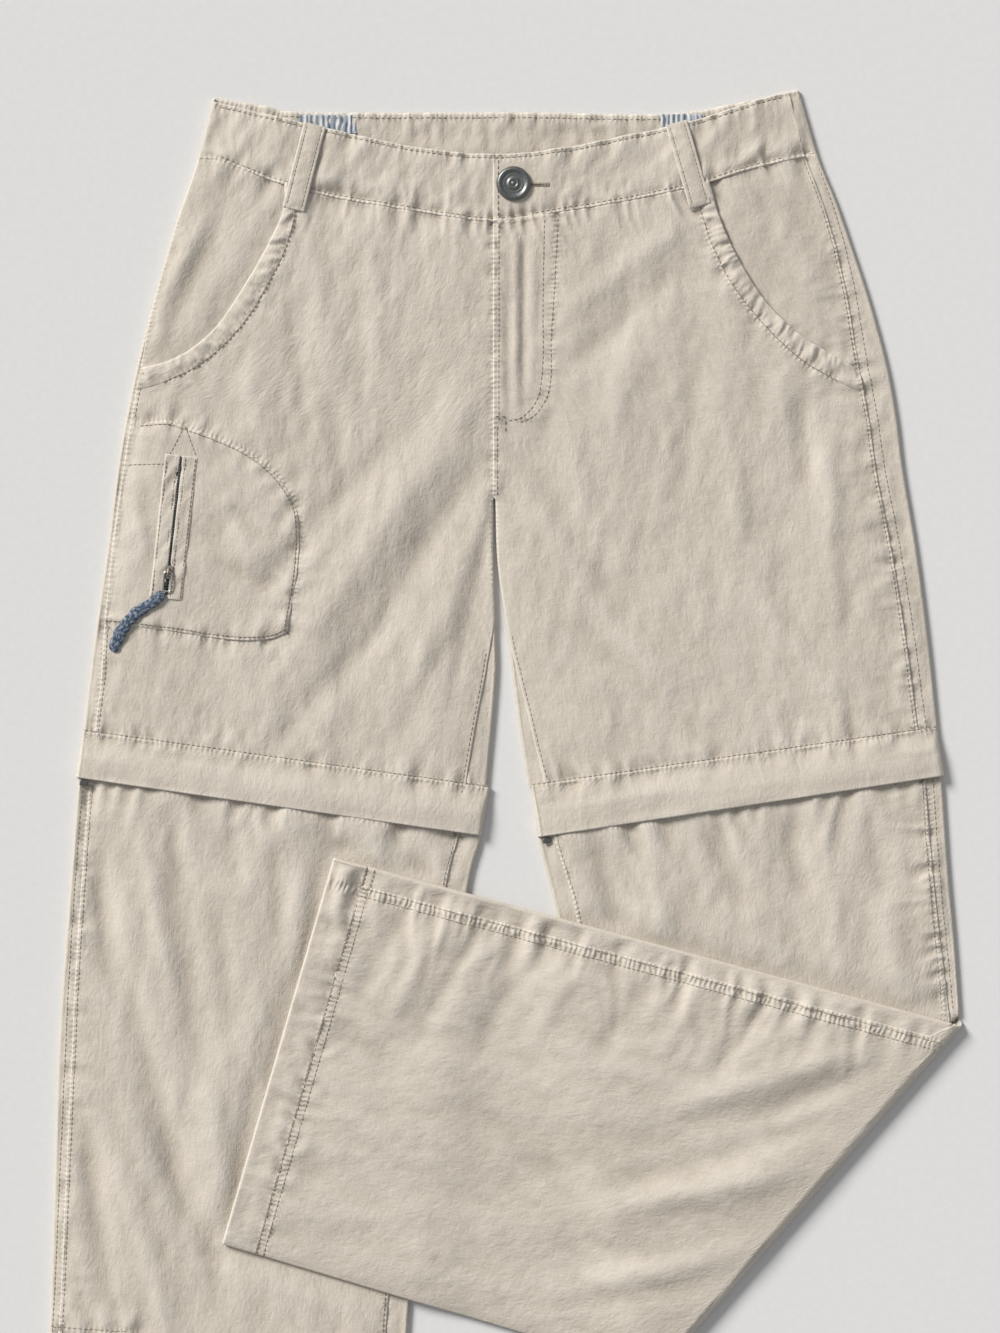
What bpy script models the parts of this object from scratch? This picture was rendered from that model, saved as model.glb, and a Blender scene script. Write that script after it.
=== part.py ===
"""Convertible zip-off trousers, laid flat, with one lower leg folded across the other.

Plan tables are in millimetres: x to the right, y towards the waist, from the centre of the laid garment,
and z up from the surface it lies on. Every cloth piece is an open surface worked out from the outlines,
then thickened inwards by a Solidify modifier. Left and right are as seen from above.
"""
import math

import bmesh
import bpy
import numpy as np
from mathutils import Matrix, Vector

MM = 0.001

# Cloth and how it lies
WALL = 1.0            # thickness of a panel
BAND_WALL = 1.2       # thickness of the doubled waistband
SEAM = 0.36           # gap between two pieces at a seam
EDGE_SEAM = 0.55      # half the gap of a seam that runs along the outermost line of a rolled edge
EDGE_R = 1.8          # radius of a rolled side edge, half the height of the two layers
PUFF = 2.4            # rise of the upper layer away from the edges
PUFF_REACH = 22.0     # distance from an edge in which it rises
QUARTER = EDGE_R * math.pi / 2

# Outlines of the laid garment, from the waist down
LEFT_OUTLINE = [(-170, 493), (-179, 457), (-192, 419), (-206, 371), (-218, 323), (-227, 275), (-233, 227),
                (-240, 179), (-246, 131), (-251, 85), (-256, 21), (-263, -79), (-268, -238), (-274, -349),
                (-280, -498)]
RIGHT_OUTLINE = [(182, 498), (193, 460), (205, 430), (215, 401), (223, 377), (230, 353), (236, 329),
                 (241, 301), (245, 269), (253, 221), (260, 167), (265, 119), (268, 86), (272, 28),
                 (276, -17), (279.2, -64)]
LEFT_INNER = [(-1.5, 251), (-1.5, 218), (0, 169), (0, 145), (-4, 98), (-9, 50), (-17, 17), (-34, -97),
              (-52, -230), (-55, -349), (-55, -498)]
RIGHT_INNER = [(-0.5, 251), (1, 212), (7, 169), (13, 121), (17, 95), (25, 49), (31, 25), (37, 0),
               (50, -67), (70, -157), (97, -273)]
CENTRE_X = -1.0       # centre front and centre back seam
CROTCH_Y = 251.0

# How far inside the outline each side seam shows: y, inset
LEFT_SEAM = [(493, 0), (380, 0), (331, 3.5), (274, 4.5), (224, 3.5), (178, 5.5), (145, 8), (85, 7.5),
             (14, 7.5), (-79, 9), (-244, 6.5), (-499, 8)]
RIGHT_SEAM = [(498, 7), (455, 8), (405, 10), (376, 13), (353, 16), (331, 18), (269, 17), (197, 15),
              (120, 13), (86, 11), (0, 11), (-64, 9)]
LEFT_INSEAM = [(251, 0), (184, 0), (154, 6), (121, 10), (83, 13), (50, 14), (-103, 13), (-499, 14)]
RIGHT_INSEAM = [(251, 0), (185, 0), (160, 2), (121, 7), (85, 10), (50, 10), (11, 12), (-273, 12)]

# Rows of the shorts: heights at the side, of which the named ones are the ends of other pieces
POCKET_FOOT_Y = 331.0
STITCH_FOOT_Y = 318.0
UPPER_ROWS = [430, 405, 380, 355, POCKET_FOOT_Y, STITCH_FOOT_Y, 302, 285]
CROTCH_SIDE_Y = 285.0

# Waist and hip pieces
BAND_TOP_FRONT = [(-170, 491), (-133, 482), (-94, 473), (-46, 463), (-1, 459), (41, 463), (76, 470),
                  (118, 479), (161, 493), (182, 498)]
BAND_TOP_BACK = [(-170, 493), (-139, 488), (-113, 484), (13, 484), (99, 483), (143, 489), (182, 498)]
BAND_LOW_FRONT = [(-179, 457), (-166, 456), (-146, 448), (-126, 441), (-94, 433), (-46, 425), (-1, 419),
                  (39, 425), (76, 431), (122, 441), (154, 451), (193, 460)]
BAND_LOW_BACK = [(-179, 457), (-1, 448), (193, 460)]
POCKET_EDGE_LEFT = [(-127, 441), (-128, 425), (-139, 401), (-152, 379), (-167, 357), (-182, 343),
                    (-197, 335)]
POCKET_STITCH_LEFT = [(-121, 439.5), (-121, 422), (-127, 401), (-137, 381), (-149, 361), (-164, 344),
                      (-181, 331), (-200, 322)]
POCKET_EDGE_RIGHT = [(128, 442.5), (134, 422), (142, 403), (156, 379), (170, 362), (185, 349), (200, 340)]
POCKET_STITCH_RIGHT = [(120, 440.5), (124, 421), (131, 401), (142, 380), (156, 362), (171, 346),
                       (187, 333), (205, 323)]
POCKET_DROP = 0.9     # the facing lies this much deeper at the pocket's mouth
POCKET_RISE = 0.4     # and the turned edge stands this much proud

# Fly, loops, elastic and button
FLY_CURVE = [(37, 422), (35, 378), (34, 340), (31, 315), (24, 303), (14, 298)]
FLY_FOOT_Y = 299.0
LOOP_WIDTH = 13.5
LOOP_THICK = 1.2
LOOPS = {"belt_loop_left": [(-108.5, 476.5), (-121.5, 425.5)],
         "belt_loop_right": [(108, 477.5), (122.5, 427.5)]}
ELASTICS = {"elastic_left": (-118, -83, 471.5, 483), "elastic_right": (99, 125, 472.5, 483.5)}
BUTTON_AT = (10.5, 441)
BUTTON_R = 10.3

# Cargo pocket on the left thigh and its zip
CARGO_SIDE = [(-214, 298), (-223, 272), (-229.5, 224), (-236, 177)]
CARGO_TOP = [(-214, 298), (-197, 299), (-187, 296), (-170, 290), (-154, 283), (-140, 274)]
CARGO_FRONT = [(-140, 274), (-129, 263), (-120, 248), (-118, 232), (-119, 209), (-122, 190), (-125, 172)]
CARGO_FOOT = [(-236, 177), (-221, 176), (-206, 174), (-190, 172), (-172, 169), (-152, 167), (-135, 168),
              (-125, 172)]
CARGO_LIFT = 0.3 + WALL
ZIP_TOP = (-188.5, 278)
ZIP_FOOT = (-198, 192)
WELT_WIDTH = 8.5
ZIP_GAP = 2.6
ZIP_SLIDER_AT = (-196.2, 208)

# Zip pull: a wire loop in the slider's bridge, and a woven tab
WIRE_R = 0.55
LOOP_SIZE = (4.8, 11.5)
PLATE = (5.0, 8.0, 1.2)
BRIDGE_R = 0.6
BRIDGE_SPAN = 4.6
PULL_CLEAR = 0.35
TAB_WIDTH = 4.0
TAB_THICK = 1.8
TAB_PATH = [(-199.3, 196.2), (-203.5, 191.5), (-209.5, 187.5), (-215.5, 183.5), (-220.5, 178.5),
            (-224.5, 173), (-227.5, 167), (-230, 160.5)]

# Knee flaps over the zips: the flap's two long edges, outer end first
FLAP_LEFT_TOP = [(-248.5, 112), (-4, 78)]
FLAP_LEFT_LOW = [(-252.5, 85), (-9, 50)]
FLAP_RIGHT_TOP = [(21, 79), (265, 114)]
FLAP_RIGHT_LOW = [(25, 49), (269.5, 86)]
FLAP_LIFT = 2.6       # rise of the flap's free edge above the leg under it
TAPE_WIDTH = 7.0
TAPE_THICK = 0.5

# Lower legs
HEM_HEIGHT = 20.0
HEM_LIFT = 0.5
LEFT_HEM_Y = -498.0

# The folded leg: corners of its upper part, hem end first along the upper edge
CORNER_A = (-97, 37)
CORNER_B = (279.2, -64)
CORNER_C = (97, -273)
CORNER_D = (-164, -195)
FOLD_Z = 4.5          # underside of the folded part, above the legs it lies on
FOLD_R = FOLD_Z / 2 + EDGE_R
FOLD_SAG = 2.6        # it sinks this much where it bridges the gap between the legs
FELLED_INSET = 12.0   # the flat-felled seam lies this far inside the upper edge

# The largest folds of the upper layer: start, end, half width, height
SHORT_FOLDS = [((-154, 443), (-187, 400), 9, -1.0), ((179, 423), (203, 375), 8, -1.0),
               ((38, 215), (158, 131), 14, -0.9), ((-34, 239), (-118, 152), 14, -0.8),
               ((-221, -79), (-175, -179), 11, -1.2), ((-247, -124), (-232, -240), 9, -0.9),
               ((-220, 55), (-192, -60), 12, -0.9), ((-150, 40), (-100, -60), 13, 0.8),
               ((-190, -260), (-110, -400), 14, -1.0), ((122, 53), (160, -15), 10, -0.8)]
TURNED_FOLDS = [((232, -95), (2, -155), 13, -1.5), ((194, -178), (22, -208), 13, -1.4),
                ((180, -140), (30, -180), 14, 0.9), ((-40, -20), (-70, -120), 14, -0.8)]

CLOTH = (0.63, 0.57, 0.48)
CLOTH_SHADE = (0.55, 0.50, 0.41)


def spline(points, per_span=8):
    """Dense polyline of the Catmull-Rom curve through the given points."""
    p = np.array(points, float)
    if len(p) == 2:
        return p[0] + (p[1] - p[0]) * np.linspace(0, 1, per_span + 1)[:, None]
    q = np.vstack([2 * p[0] - p[1], p, 2 * p[-1] - p[-2]])
    t = np.linspace(0, 1, per_span, endpoint=False)[:, None]
    spans = [b + 0.5 * ((c - a) * t + (2 * a - 5 * b + 4 * c - d) * t ** 2 + (3 * b - a - 3 * c + d) * t ** 3)
             for a, b, c, d in zip(q[:-3], q[1:-2], q[2:-1], q[3:])]
    return np.vstack(spans + [p[-1:]])


def along(points, fractions):
    """Points at fractions of the length of the curve through the given points."""
    line = spline(points)
    run = np.concatenate([[0], np.cumsum(np.linalg.norm(np.diff(line, axis=0), axis=1))])
    where = np.asarray(fractions) * run[-1]
    return np.stack([np.interp(where, run, line[:, k]) for k in range(line.shape[1])], axis=-1)


def x_on(points, y):
    """x of an outline at height y."""
    line = spline(points)[::-1]
    return np.interp(y, line[:, 1], line[:, 0])


def inset_at(table, y):
    """Inset of a seam at height y, from a table that runs down the leg."""
    rows = np.array(table[::-1], float)
    return np.interp(y, rows[:, 0], rows[:, 1])


def distance(xy, lines):
    """Distance from plan points to the nearest of several polylines."""
    xy = np.asarray(xy, float)
    flat = xy.reshape(-1, 2)
    best = np.full(len(flat), 1e9)
    for line in lines:
        a, ab = line[:-1], np.diff(line, axis=0)
        rel = flat[:, None] - a[None]
        t = np.clip((rel * ab).sum(-1) / (ab * ab).sum(-1), 0, 1)
        best = np.minimum(best, np.linalg.norm(rel - t[..., None] * ab, axis=-1).min(1))
    return best.reshape(xy.shape[:-1])


def smooth(x):
    """Smooth step from 0 to 1."""
    x = np.clip(x, 0, 1)
    return x * x * (3 - 2 * x)


def folds(xy, table):
    """Sum of soft straight folds: a bell across each and a taper towards its ends."""
    total = np.zeros(xy.shape[:-1])
    for start, end, width, height in table:
        a = np.array(start, float)
        run = np.array(end, float) - a
        length = np.linalg.norm(run)
        rel = xy - a
        s = (rel * run).sum(-1) / length
        off = (rel[..., 0] * run[1] - rel[..., 1] * run[0]) / length
        taper = smooth((s + 0.15 * length) / (0.4 * length)) * smooth((1.15 * length - s) / (0.4 * length))
        total += height * np.exp(-(off / width) ** 2) * taper
    return total


SIDE_EDGES = [spline(LEFT_OUTLINE), spline(RIGHT_OUTLINE), spline(LEFT_INNER), spline(RIGHT_INNER)]
TURNED_EDGES = [np.array([CORNER_A, CORNER_B], float), np.array([CORNER_D, CORNER_C], float)]
FOLD_LINE = [np.array([CORNER_B, CORNER_C], float)]


def roll(d):
    """Height of a rolled edge at distance d inside it: a quarter circle, then level."""
    inside = EDGE_R - np.clip(d, 0, EDGE_R)
    return EDGE_R + np.sqrt(EDGE_R ** 2 - inside ** 2)


def beyond_fold(xy):
    """Distance of a plan point outside the folded part's four sides, 0 inside."""
    corners = np.array([CORNER_A, CORNER_B, CORNER_C, CORNER_D], float)
    outside = np.full(xy.shape[:-1], -1e9)
    for a, b in zip(corners, np.roll(corners, -1, axis=0)):
        run = (b - a) / np.linalg.norm(b - a)
        outside = np.maximum(outside, -(xy[..., 0] - a[0]) * run[1] + (xy[..., 1] - a[1]) * run[0])
    return np.maximum(outside, 0)


def top(xy):
    """Height of the garment's upper layer: it rolls up from the side edges, rises to its full puff, and
    is pressed flat under the folded leg."""
    xy = np.asarray(xy, float)
    d = distance(xy, SIDE_EDGES)
    rise = PUFF * (1 - np.exp(-np.maximum(d - EDGE_R, 0) / PUFF_REACH))
    ease = smooth(beyond_fold(xy) / 26)
    return roll(d) + (rise + folds(xy, SHORT_FOLDS) * smooth(d / 18)) * ease


def fold_base(xy):
    """Underside of the folded leg: level on the legs, lower where it bridges the gap between them."""
    inside = np.minimum(xy[..., 0] - x_on(LEFT_INNER, xy[..., 1]), x_on(RIGHT_INNER, xy[..., 1]) - xy[..., 0])
    return FOLD_Z - FOLD_SAG * smooth(inside / 38)


def turned_top(xy):
    """Height of the folded leg's upper layer above its underside."""
    xy = np.asarray(xy, float)
    d = distance(xy, TURNED_EDGES)
    rise = PUFF * (1 - np.exp(-np.maximum(d - EDGE_R, 0) / PUFF_REACH))
    ease = smooth(distance(xy, FOLD_LINE) / 40)
    return roll(d) + (rise + folds(xy, TURNED_FOLDS) * smooth(d / 18)) * ease


def material(obj, colour, roughness=0.9, metallic=0.0):
    """A Principled material of the piece's own."""
    mat = bpy.data.materials.new(obj.name)
    mat.use_nodes = True
    shader = mat.node_tree.nodes["Principled BSDF"]
    shader.inputs["Base Color"].default_value = (*colour, 1)
    shader.inputs["Roughness"].default_value = roughness
    shader.inputs["Metallic"].default_value = metallic
    obj.data.materials.append(mat)


def add(name, mesh, colour, **look):
    """Put a mesh in the garment's collection, with its material."""
    obj = bpy.data.objects.new(name, mesh)
    garment.objects.link(obj)
    material(obj, colour, **look)
    mesh.shade_smooth()
    return obj


def cloth(name, grid, wall=WALL, flip=False, closed=False, colour=CLOTH):
    """A cloth piece from a grid of points on its outer face, rows by columns, in millimetres."""
    rows, cols = grid.shape[:2]
    index = np.arange(rows * cols).reshape(rows, cols)
    if closed:
        index = np.hstack([index, index[:, :1]])
    quads = np.stack([index[:-1, :-1], index[1:, :-1], index[1:, 1:], index[:-1, 1:]], -1).reshape(-1, 4)
    if flip:
        quads = quads[:, ::-1]
    mesh = bpy.data.meshes.new(name)
    mesh.from_pydata((grid.reshape(-1, 3) * MM).tolist(), [], quads.tolist())
    obj = add(name, mesh, colour)
    shell = obj.modifiers.new("wall", "SOLIDIFY")
    shell.thickness = wall * MM
    shell.offset = -1
    return obj


def lay(xy, z):
    """Plan points and heights as one grid."""
    return np.concatenate([xy, np.broadcast_to(z, xy.shape[:-1])[..., None]], -1)


def shares_of(points):
    """Fractions of the length along a row of points."""
    steps = np.linalg.norm(np.diff(points, axis=0), axis=1)
    return np.concatenate([[0], np.cumsum(steps)]) / steps.sum()


def patch(upper, lower, left, right):
    """Coons patch in plan: a grid between four rows of boundary points, which it keeps as they are."""
    upper, lower, left, right = (np.asarray(side, float) for side in (upper, lower, left, right))
    t = ((shares_of(left) + shares_of(right)) / 2)[:, None, None]
    s = ((shares_of(upper) + shares_of(lower)) / 2)[None, :, None]
    corners = (1 - t) * ((1 - s) * upper[0] + s * upper[-1]) + t * ((1 - s) * lower[0] + s * lower[-1])
    return (1 - t) * upper[None] + t * lower[None] + (1 - s) * left[:, None] + s * right[:, None] - corners


def turn_of(inset):
    """Distance along a rolled edge, from its outermost line to a seam that shows this far inside it."""
    if inset >= EDGE_R:
        return QUARTER + inset - EDGE_R
    return EDGE_R * math.acos(1 - inset / EDGE_R)


def edge_turns(turn):
    """Places round one rolled edge, from the underside up to the seam."""
    if turn <= QUARTER:
        return np.linspace(-QUARTER, turn, 6)
    return np.array([-QUARTER, -QUARTER / 2, 0, QUARTER / 2, QUARTER, turn])


def edge_profile(turns):
    """Inset and height of places round a rolled edge."""
    angle = np.clip(turns, -QUARTER, QUARTER) / EDGE_R
    inset = EDGE_R * (1 - np.cos(angle)) + np.maximum(np.abs(turns) - QUARTER, 0)
    return inset, EDGE_R * (1 + np.sin(angle))


def wrap_row(left, right, turn_left, turn_right, middle=5):
    """One row of a back panel: from the seam on top, round the left edge, along the underside and round
    the right edge to its seam. A turn of None ends the cloth flat, at a centre seam or a fold."""
    left, right = np.array(left, float), np.array(right, float)
    width = np.linalg.norm(right - left)
    spans, heights, tops = [], [], []
    for turn, mirrored in ((turn_left, False), (turn_right, True)):
        if turn is None:
            inset = np.linspace(5 * EDGE_R, SEAM / 2, 6)
            height = np.zeros(6)
            over = np.zeros(6, bool)
        else:
            turns = edge_turns(turn - (SEAM / 2 if turn > QUARTER else EDGE_SEAM))
            inset, height = edge_profile(turns)
            over = turns > QUARTER
        spans.append(width - inset if mirrored else inset[::-1])
        heights.append(height if mirrored else height[::-1])
        tops.append(over if mirrored else over[::-1])
    between = np.linspace(spans[0][-1], spans[1][0], middle + 2)[1:-1]
    a = np.concatenate([spans[0], between, spans[1]])
    z = np.concatenate([heights[0], np.zeros(middle), heights[1]])
    on_top = np.concatenate([tops[0], np.zeros(middle, bool), tops[1]])
    xy = left + (right - left) / width * a[:, None]
    return lay(xy, np.where(on_top, top(xy), z))


def ring_row(left, right, height, lift, across=9):
    """One row of a flat ring round a leg: over the top, round the right edge, back under, and round the
    left edge. height gives the upper layer under it, lift how far the ring stands above that."""
    left, right = np.array(left, float), np.array(right, float)
    width = np.linalg.norm(right - left)
    r = EDGE_R + lift / 2
    over = np.linspace(r, width - r, across)
    round_edge = np.radians([45, 0, -45])
    a = np.concatenate([over, width - r + r * np.cos(round_edge), over[::-1],
                        r - r * np.cos(round_edge[::-1])])
    z = np.concatenate([np.zeros(across), r + r * np.sin(round_edge), np.zeros(across),
                        r + r * np.sin(round_edge[::-1])])
    xy = left + (right - left) / width * a[:, None]
    z[:across] = height(xy[:across]) + lift
    return lay(xy, z)


def short_rows(outline, inner, waist_y, knee_y):
    """Row ends of the shorts, at the side and at the centre seam or, below the crotch, the inner edge."""
    side_y = np.concatenate([[waist_y[0]], UPPER_ROWS, np.linspace(CROTCH_SIDE_Y, knee_y[0], 9)[1:]])
    centre_y = np.interp(-side_y, [-waist_y[0], -CROTCH_SIDE_Y, -knee_y[0]],
                         [waist_y[1], CROTCH_Y, knee_y[1]])
    centre_x = np.where(centre_y > CROTCH_Y + 1, CENTRE_X, x_on(inner, centre_y))
    return np.stack([x_on(outline, side_y), side_y], -1), np.stack([centre_x, centre_y], -1)


def seam_points(side, centre, seam, inseam):
    """Where a front panel's two seams lie on each row, half a seam gap in from the back panel's edge."""
    run = (centre - side) / np.linalg.norm(centre - side, axis=1)[:, None]
    near = inset_at(seam, side[:, 1]) + SEAM / 2
    far = inset_at(inseam, centre[:, 1]) + SEAM / 2
    return side + run * near[:, None], centre - run * far[:, None]


def raised(plan, lift=0.0, least=EDGE_R + EDGE_SEAM):
    """Grid on the upper layer; it never reaches down past the outermost line of a rolled edge."""
    return lay(plan, np.maximum(top(plan) + lift, least))


def mirror_rows(plan, mirrored):
    """The same grid with its columns running the other way, for a piece of the right half."""
    return plan[:, ::-1] if mirrored else plan


def short_back(name, side, centre, seam, inseam, mirrored):
    """A back panel of the shorts, which wraps round the side edge to the side seam on top, and below the
    crotch round the inner edge to the inseam."""
    rows = []
    for outer, inner in zip(side, centre):
        turn_outer = turn_of(inset_at(seam, outer[1]))
        turn_inner = None if inner[1] > CROTCH_Y + 1 else turn_of(inset_at(inseam, inner[1]))
        if mirrored:
            rows.append(wrap_row(inner, outer, turn_inner, turn_outer))
        else:
            rows.append(wrap_row(outer, inner, turn_outer, turn_inner))
    grid = np.array(rows)
    grid[0, :, 1] -= SEAM
    grid[-1, :, 1] += SEAM
    return cloth(name, grid, flip=True)


def half_of_shorts(half, outline, inner, seam, inseam, waist_y, knee_y, edge, stitch, mirrored):
    """Back, front, hip pocket facing and stitched pocket edge of one half of the shorts. They share the
    same rows, so that their seams match."""
    side, centre = short_rows(outline, inner, waist_y, knee_y)
    short_back(f"short_back_{half}", side, centre, seam, inseam, mirrored)
    outer, middle = seam_points(side, centre, seam, inseam)
    pocket_row = 1 + UPPER_ROWS.index(POCKET_FOOT_Y)
    steps = 2 * pocket_row + 1
    edge = along(edge + [tuple(outer[pocket_row])], np.linspace(0, 1, steps))
    stitch = along(stitch + [tuple(outer[pocket_row + 1])], np.linspace(0, 1, steps))

    gap = (stitch - edge) / np.linalg.norm(stitch - edge, axis=1)[:, None] * SEAM
    strip = np.stack([edge, (edge + stitch) / 2, stitch - gap], axis=1)
    strip[0, :, 1] -= SEAM / 2
    cloth(f"pocket_edge_{half}", raised(mirror_rows(strip, mirrored), POCKET_RISE))

    places = np.linspace(0, pocket_row, steps)
    near = np.stack([np.interp(places, np.arange(pocket_row + 1), column)
                     for column in outer[:pocket_row + 1].T], -1)
    near[-1] = near[-2] * 0.2 + near[-1] * 0.8
    far = edge.copy()
    far[-1] = far[-2] * 0.35 + far[-1] * 0.65
    far += (near - far) / np.linalg.norm(near - far, axis=1)[:, None] * SEAM
    x = near[0, 0] + (far[0, 0] - near[0, 0]) * np.linspace(0, 1, 6)
    waist = np.stack([x, band_low(x)], -1)
    near[0], far[0] = waist[0], waist[-1]
    facing = patch(waist, near[-1] + (far[-1] - near[-1]) * np.linspace(0, 1, 6)[:, None], near, far)
    facing[0, :, 1] -= 2 * SEAM
    deep = POCKET_DROP * np.exp(-distance(facing, [edge]) / 9) * smooth(distance(facing, SIDE_EDGES) / 9)
    grid = raised(facing, -deep, EDGE_R + 2 * EDGE_SEAM)
    cloth(f"pocket_facing_{half}", mirror_rows(grid, mirrored), colour=CLOTH_SHADE)

    left = np.vstack([stitch, outer[pocket_row + 2:]])
    fall = np.linspace(waist_y[2], middle[pocket_row + 1, 1], steps)
    right = np.vstack([np.stack([np.full(steps, middle[0, 0]), fall], -1), middle[pocket_row + 2:]])
    cols = np.concatenate([np.linspace(0, 0.93, 8), [0.975, 0.993, 0.9985, 1]])
    x = left[0, 0] + (right[0, 0] - left[0, 0]) * cols
    waist = np.stack([x, band_low(x)], -1)
    left[0], right[0] = waist[0], waist[-1]
    hem = left[-1] + (right[-1] - left[-1]) * cols[:, None]
    plan = patch(waist, hem, left, right)
    plan[0, :, 1] -= SEAM
    plan[-1, :, 1] += SEAM
    cloth(f"short_front_{half}", mirror_rows(raised(plan), mirrored))


def band_low(x):
    """Lower edge of the front waistband at x."""
    line = spline(BAND_LOW_FRONT)
    return np.interp(x, line[:, 0], line[:, 1])


def waistband():
    """Back band, which wraps round both ends, and the two front bands that dip to the button."""
    low, high = np.array(BAND_LOW_BACK, float), spline(BAND_TOP_BACK)
    rows = []
    for v in np.linspace(1, 0, 4):
        left = low[0] + (high[0] - low[0]) * v
        right = low[-1] + (high[-1] - low[-1]) * v
        row = wrap_row(left, right, turn_of(inset_at(LEFT_SEAM, left[1])),
                       turn_of(inset_at(RIGHT_SEAM, right[1])), middle=20)
        x = np.clip(row[:, 0], low[0, 0], low[-1, 0])
        bend = (1 - v) * np.interp(x, low[:, 0], low[:, 1]) + v * np.interp(x, high[:, 0], high[:, 1])
        row[:, 1] = bend
        rows.append(row)
    cloth("waistband_back", np.array(rows), wall=BAND_WALL, flip=True)
    high = spline(BAND_TOP_FRONT)
    for name, mirrored in (("waistband_front_left", False), ("waistband_front_right", True)):
        rows = []
        for v in np.linspace(1, 0, 4):
            if mirrored:
                y = 460 + 38 * v
                end = x_on(RIGHT_OUTLINE, y) - inset_at(RIGHT_SEAM, y) - SEAM / 2
                start = CENTRE_X + SEAM / 2
            else:
                y = 457 + 34 * v
                end = x_on(LEFT_OUTLINE, y) + inset_at(LEFT_SEAM, y) + SEAM / 2
                start = CENTRE_X - SEAM / 2
            x = end + (start - end) * np.concatenate([[0, 0.003, 0.012], np.linspace(0.05, 1, 11)])
            rows.append(np.stack([x, (1 - v) * band_low(x) + v * np.interp(x, high[:, 0], high[:, 1])], -1))
        cloth(name, mirror_rows(raised(np.array(rows)), mirrored), wall=BAND_WALL)


def fly():
    """The overlap of the fly, a facing that ends in a J, on both fronts."""
    x = np.linspace(CENTRE_X - 1, FLY_CURVE[0][0], 5)
    waist = np.stack([x, band_low(x) - SEAM], -1)
    right = along(FLY_CURVE, np.linspace(0, 1, 9))
    right[0] = waist[-1]
    foot = np.linspace((CENTRE_X - 1, FLY_FOOT_Y), right[-1], 5)
    plan = patch(waist, foot, np.linspace(waist[0], foot[0], 9), right)
    cloth("fly_facing", lay(plan, top(plan) + SEAM + WALL * 0.8), wall=WALL * 0.8)


def belt_loops():
    """Two belt loops: narrow strips that arch over the waistband."""
    for name, (upper, lower) in LOOPS.items():
        a, b = np.array(upper, float), np.array(lower, float)
        run = (b - a) / np.linalg.norm(b - a)
        side = np.array([-run[1], run[0]])
        rows = np.linspace(0, 1, 8)
        centre = a + (b - a) * rows[:, None]
        cols = np.linspace(-0.5, 0.5, 3) * LOOP_WIDTH
        plan = centre[:, None] + side * cols[None, :, None]
        arch = 0.9 * np.sin(math.pi * rows)[:, None]
        z = top(plan) + POCKET_RISE + SEAM + LOOP_THICK + arch
        cloth(name, lay(plan, z), wall=LOOP_THICK)


def elastics():
    """Gathered elastic inserts on the inner face of the back waistband, seen above the front band."""
    for name, (x0, x1, y0, y1) in ELASTICS.items():
        x = np.linspace(x0, x1, 15)
        plan = np.stack(np.meshgrid(x, np.linspace(y1, y0, 3)), -1)
        ripple = 0.35 * np.where(np.arange(15) % 2, 1, -1)
        z = BAND_WALL + SEAM + 0.7 + 0.35 + np.broadcast_to(ripple, plan.shape[:-1])
        cloth(name, lay(plan, z), wall=0.7, colour=(0.55, 0.58, 0.62))


def waist_button():
    """Turned metal button: a rounded rim, a sunk ring and a small centre boss on a short shank."""
    profile = [(0, 3.6), (1.6, 3.6), (2.3, 3.0), (5.0, 2.8), (6.2, 3.5), (8.6, 3.5), (BUTTON_R, 2.6),
               (BUTTON_R, 1.7), (BUTTON_R - 1, 1.1), (4.0, 1.0), (4.0, 0.0), (0, 0)]
    mesh = bpy.data.meshes.new("waist_button")
    edges = [(i, i + 1) for i in range(len(profile) - 1)]
    mesh.from_pydata([(r * MM, 0, h * MM) for r, h in profile], edges, [])
    obj = add("waist_button", mesh, (0.10, 0.10, 0.10), roughness=0.4, metallic=0.9)
    turn = obj.modifiers.new("turn", "SCREW")
    turn.steps = turn.render_steps = 24
    turn.use_merge_vertices = True
    turn.merge_threshold = 0.00001
    base = float(top(np.array(BUTTON_AT, float))) + SEAM
    obj.location = (BUTTON_AT[0] * MM, BUTTON_AT[1] * MM, base * MM)


def zip_frame():
    """Unit vector down the cargo zip and the one across it."""
    run = np.array(ZIP_FOOT, float) - np.array(ZIP_TOP, float)
    run /= np.linalg.norm(run)
    return run, np.array([-run[1], run[0]])


def cargo_pocket():
    """Patch pocket on the thigh, its zip's two welts and the tape between them."""
    nine = np.linspace(0, 1, 9)
    plan = patch(*(along(side, nine) for side in (CARGO_TOP, CARGO_FOOT, CARGO_SIDE, CARGO_FRONT)))
    cloth("cargo_pocket", lay(plan, top(plan) + CARGO_LIFT), wall=WALL)
    run, across = zip_frame()
    start, length = np.array(ZIP_TOP, float), np.linalg.norm(np.subtract(ZIP_FOOT, ZIP_TOP))
    rows = np.linspace(0, 1, 8)[:, None, None]
    spine = start + run * length * rows
    base = CARGO_LIFT + SEAM
    for name, inner, outer in (("zip_welt_left", -ZIP_GAP / 2, -ZIP_GAP / 2 - WELT_WIDTH),
                               ("zip_welt_right", ZIP_GAP / 2, ZIP_GAP / 2 + WELT_WIDTH)):
        low, high = sorted((inner, outer))
        plan = spine + across * np.linspace(low, high, 3)[None, :, None]
        cloth(name, lay(plan, top(plan) + base + 0.8), wall=0.8)
    half = ZIP_GAP / 2 - SEAM
    plan = spine + across * np.array([-half, half])[None, :, None]
    cloth("zip_tape", lay(plan, top(plan) + base + 0.6), wall=0.6, colour=(0.12, 0.11, 0.10))


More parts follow.
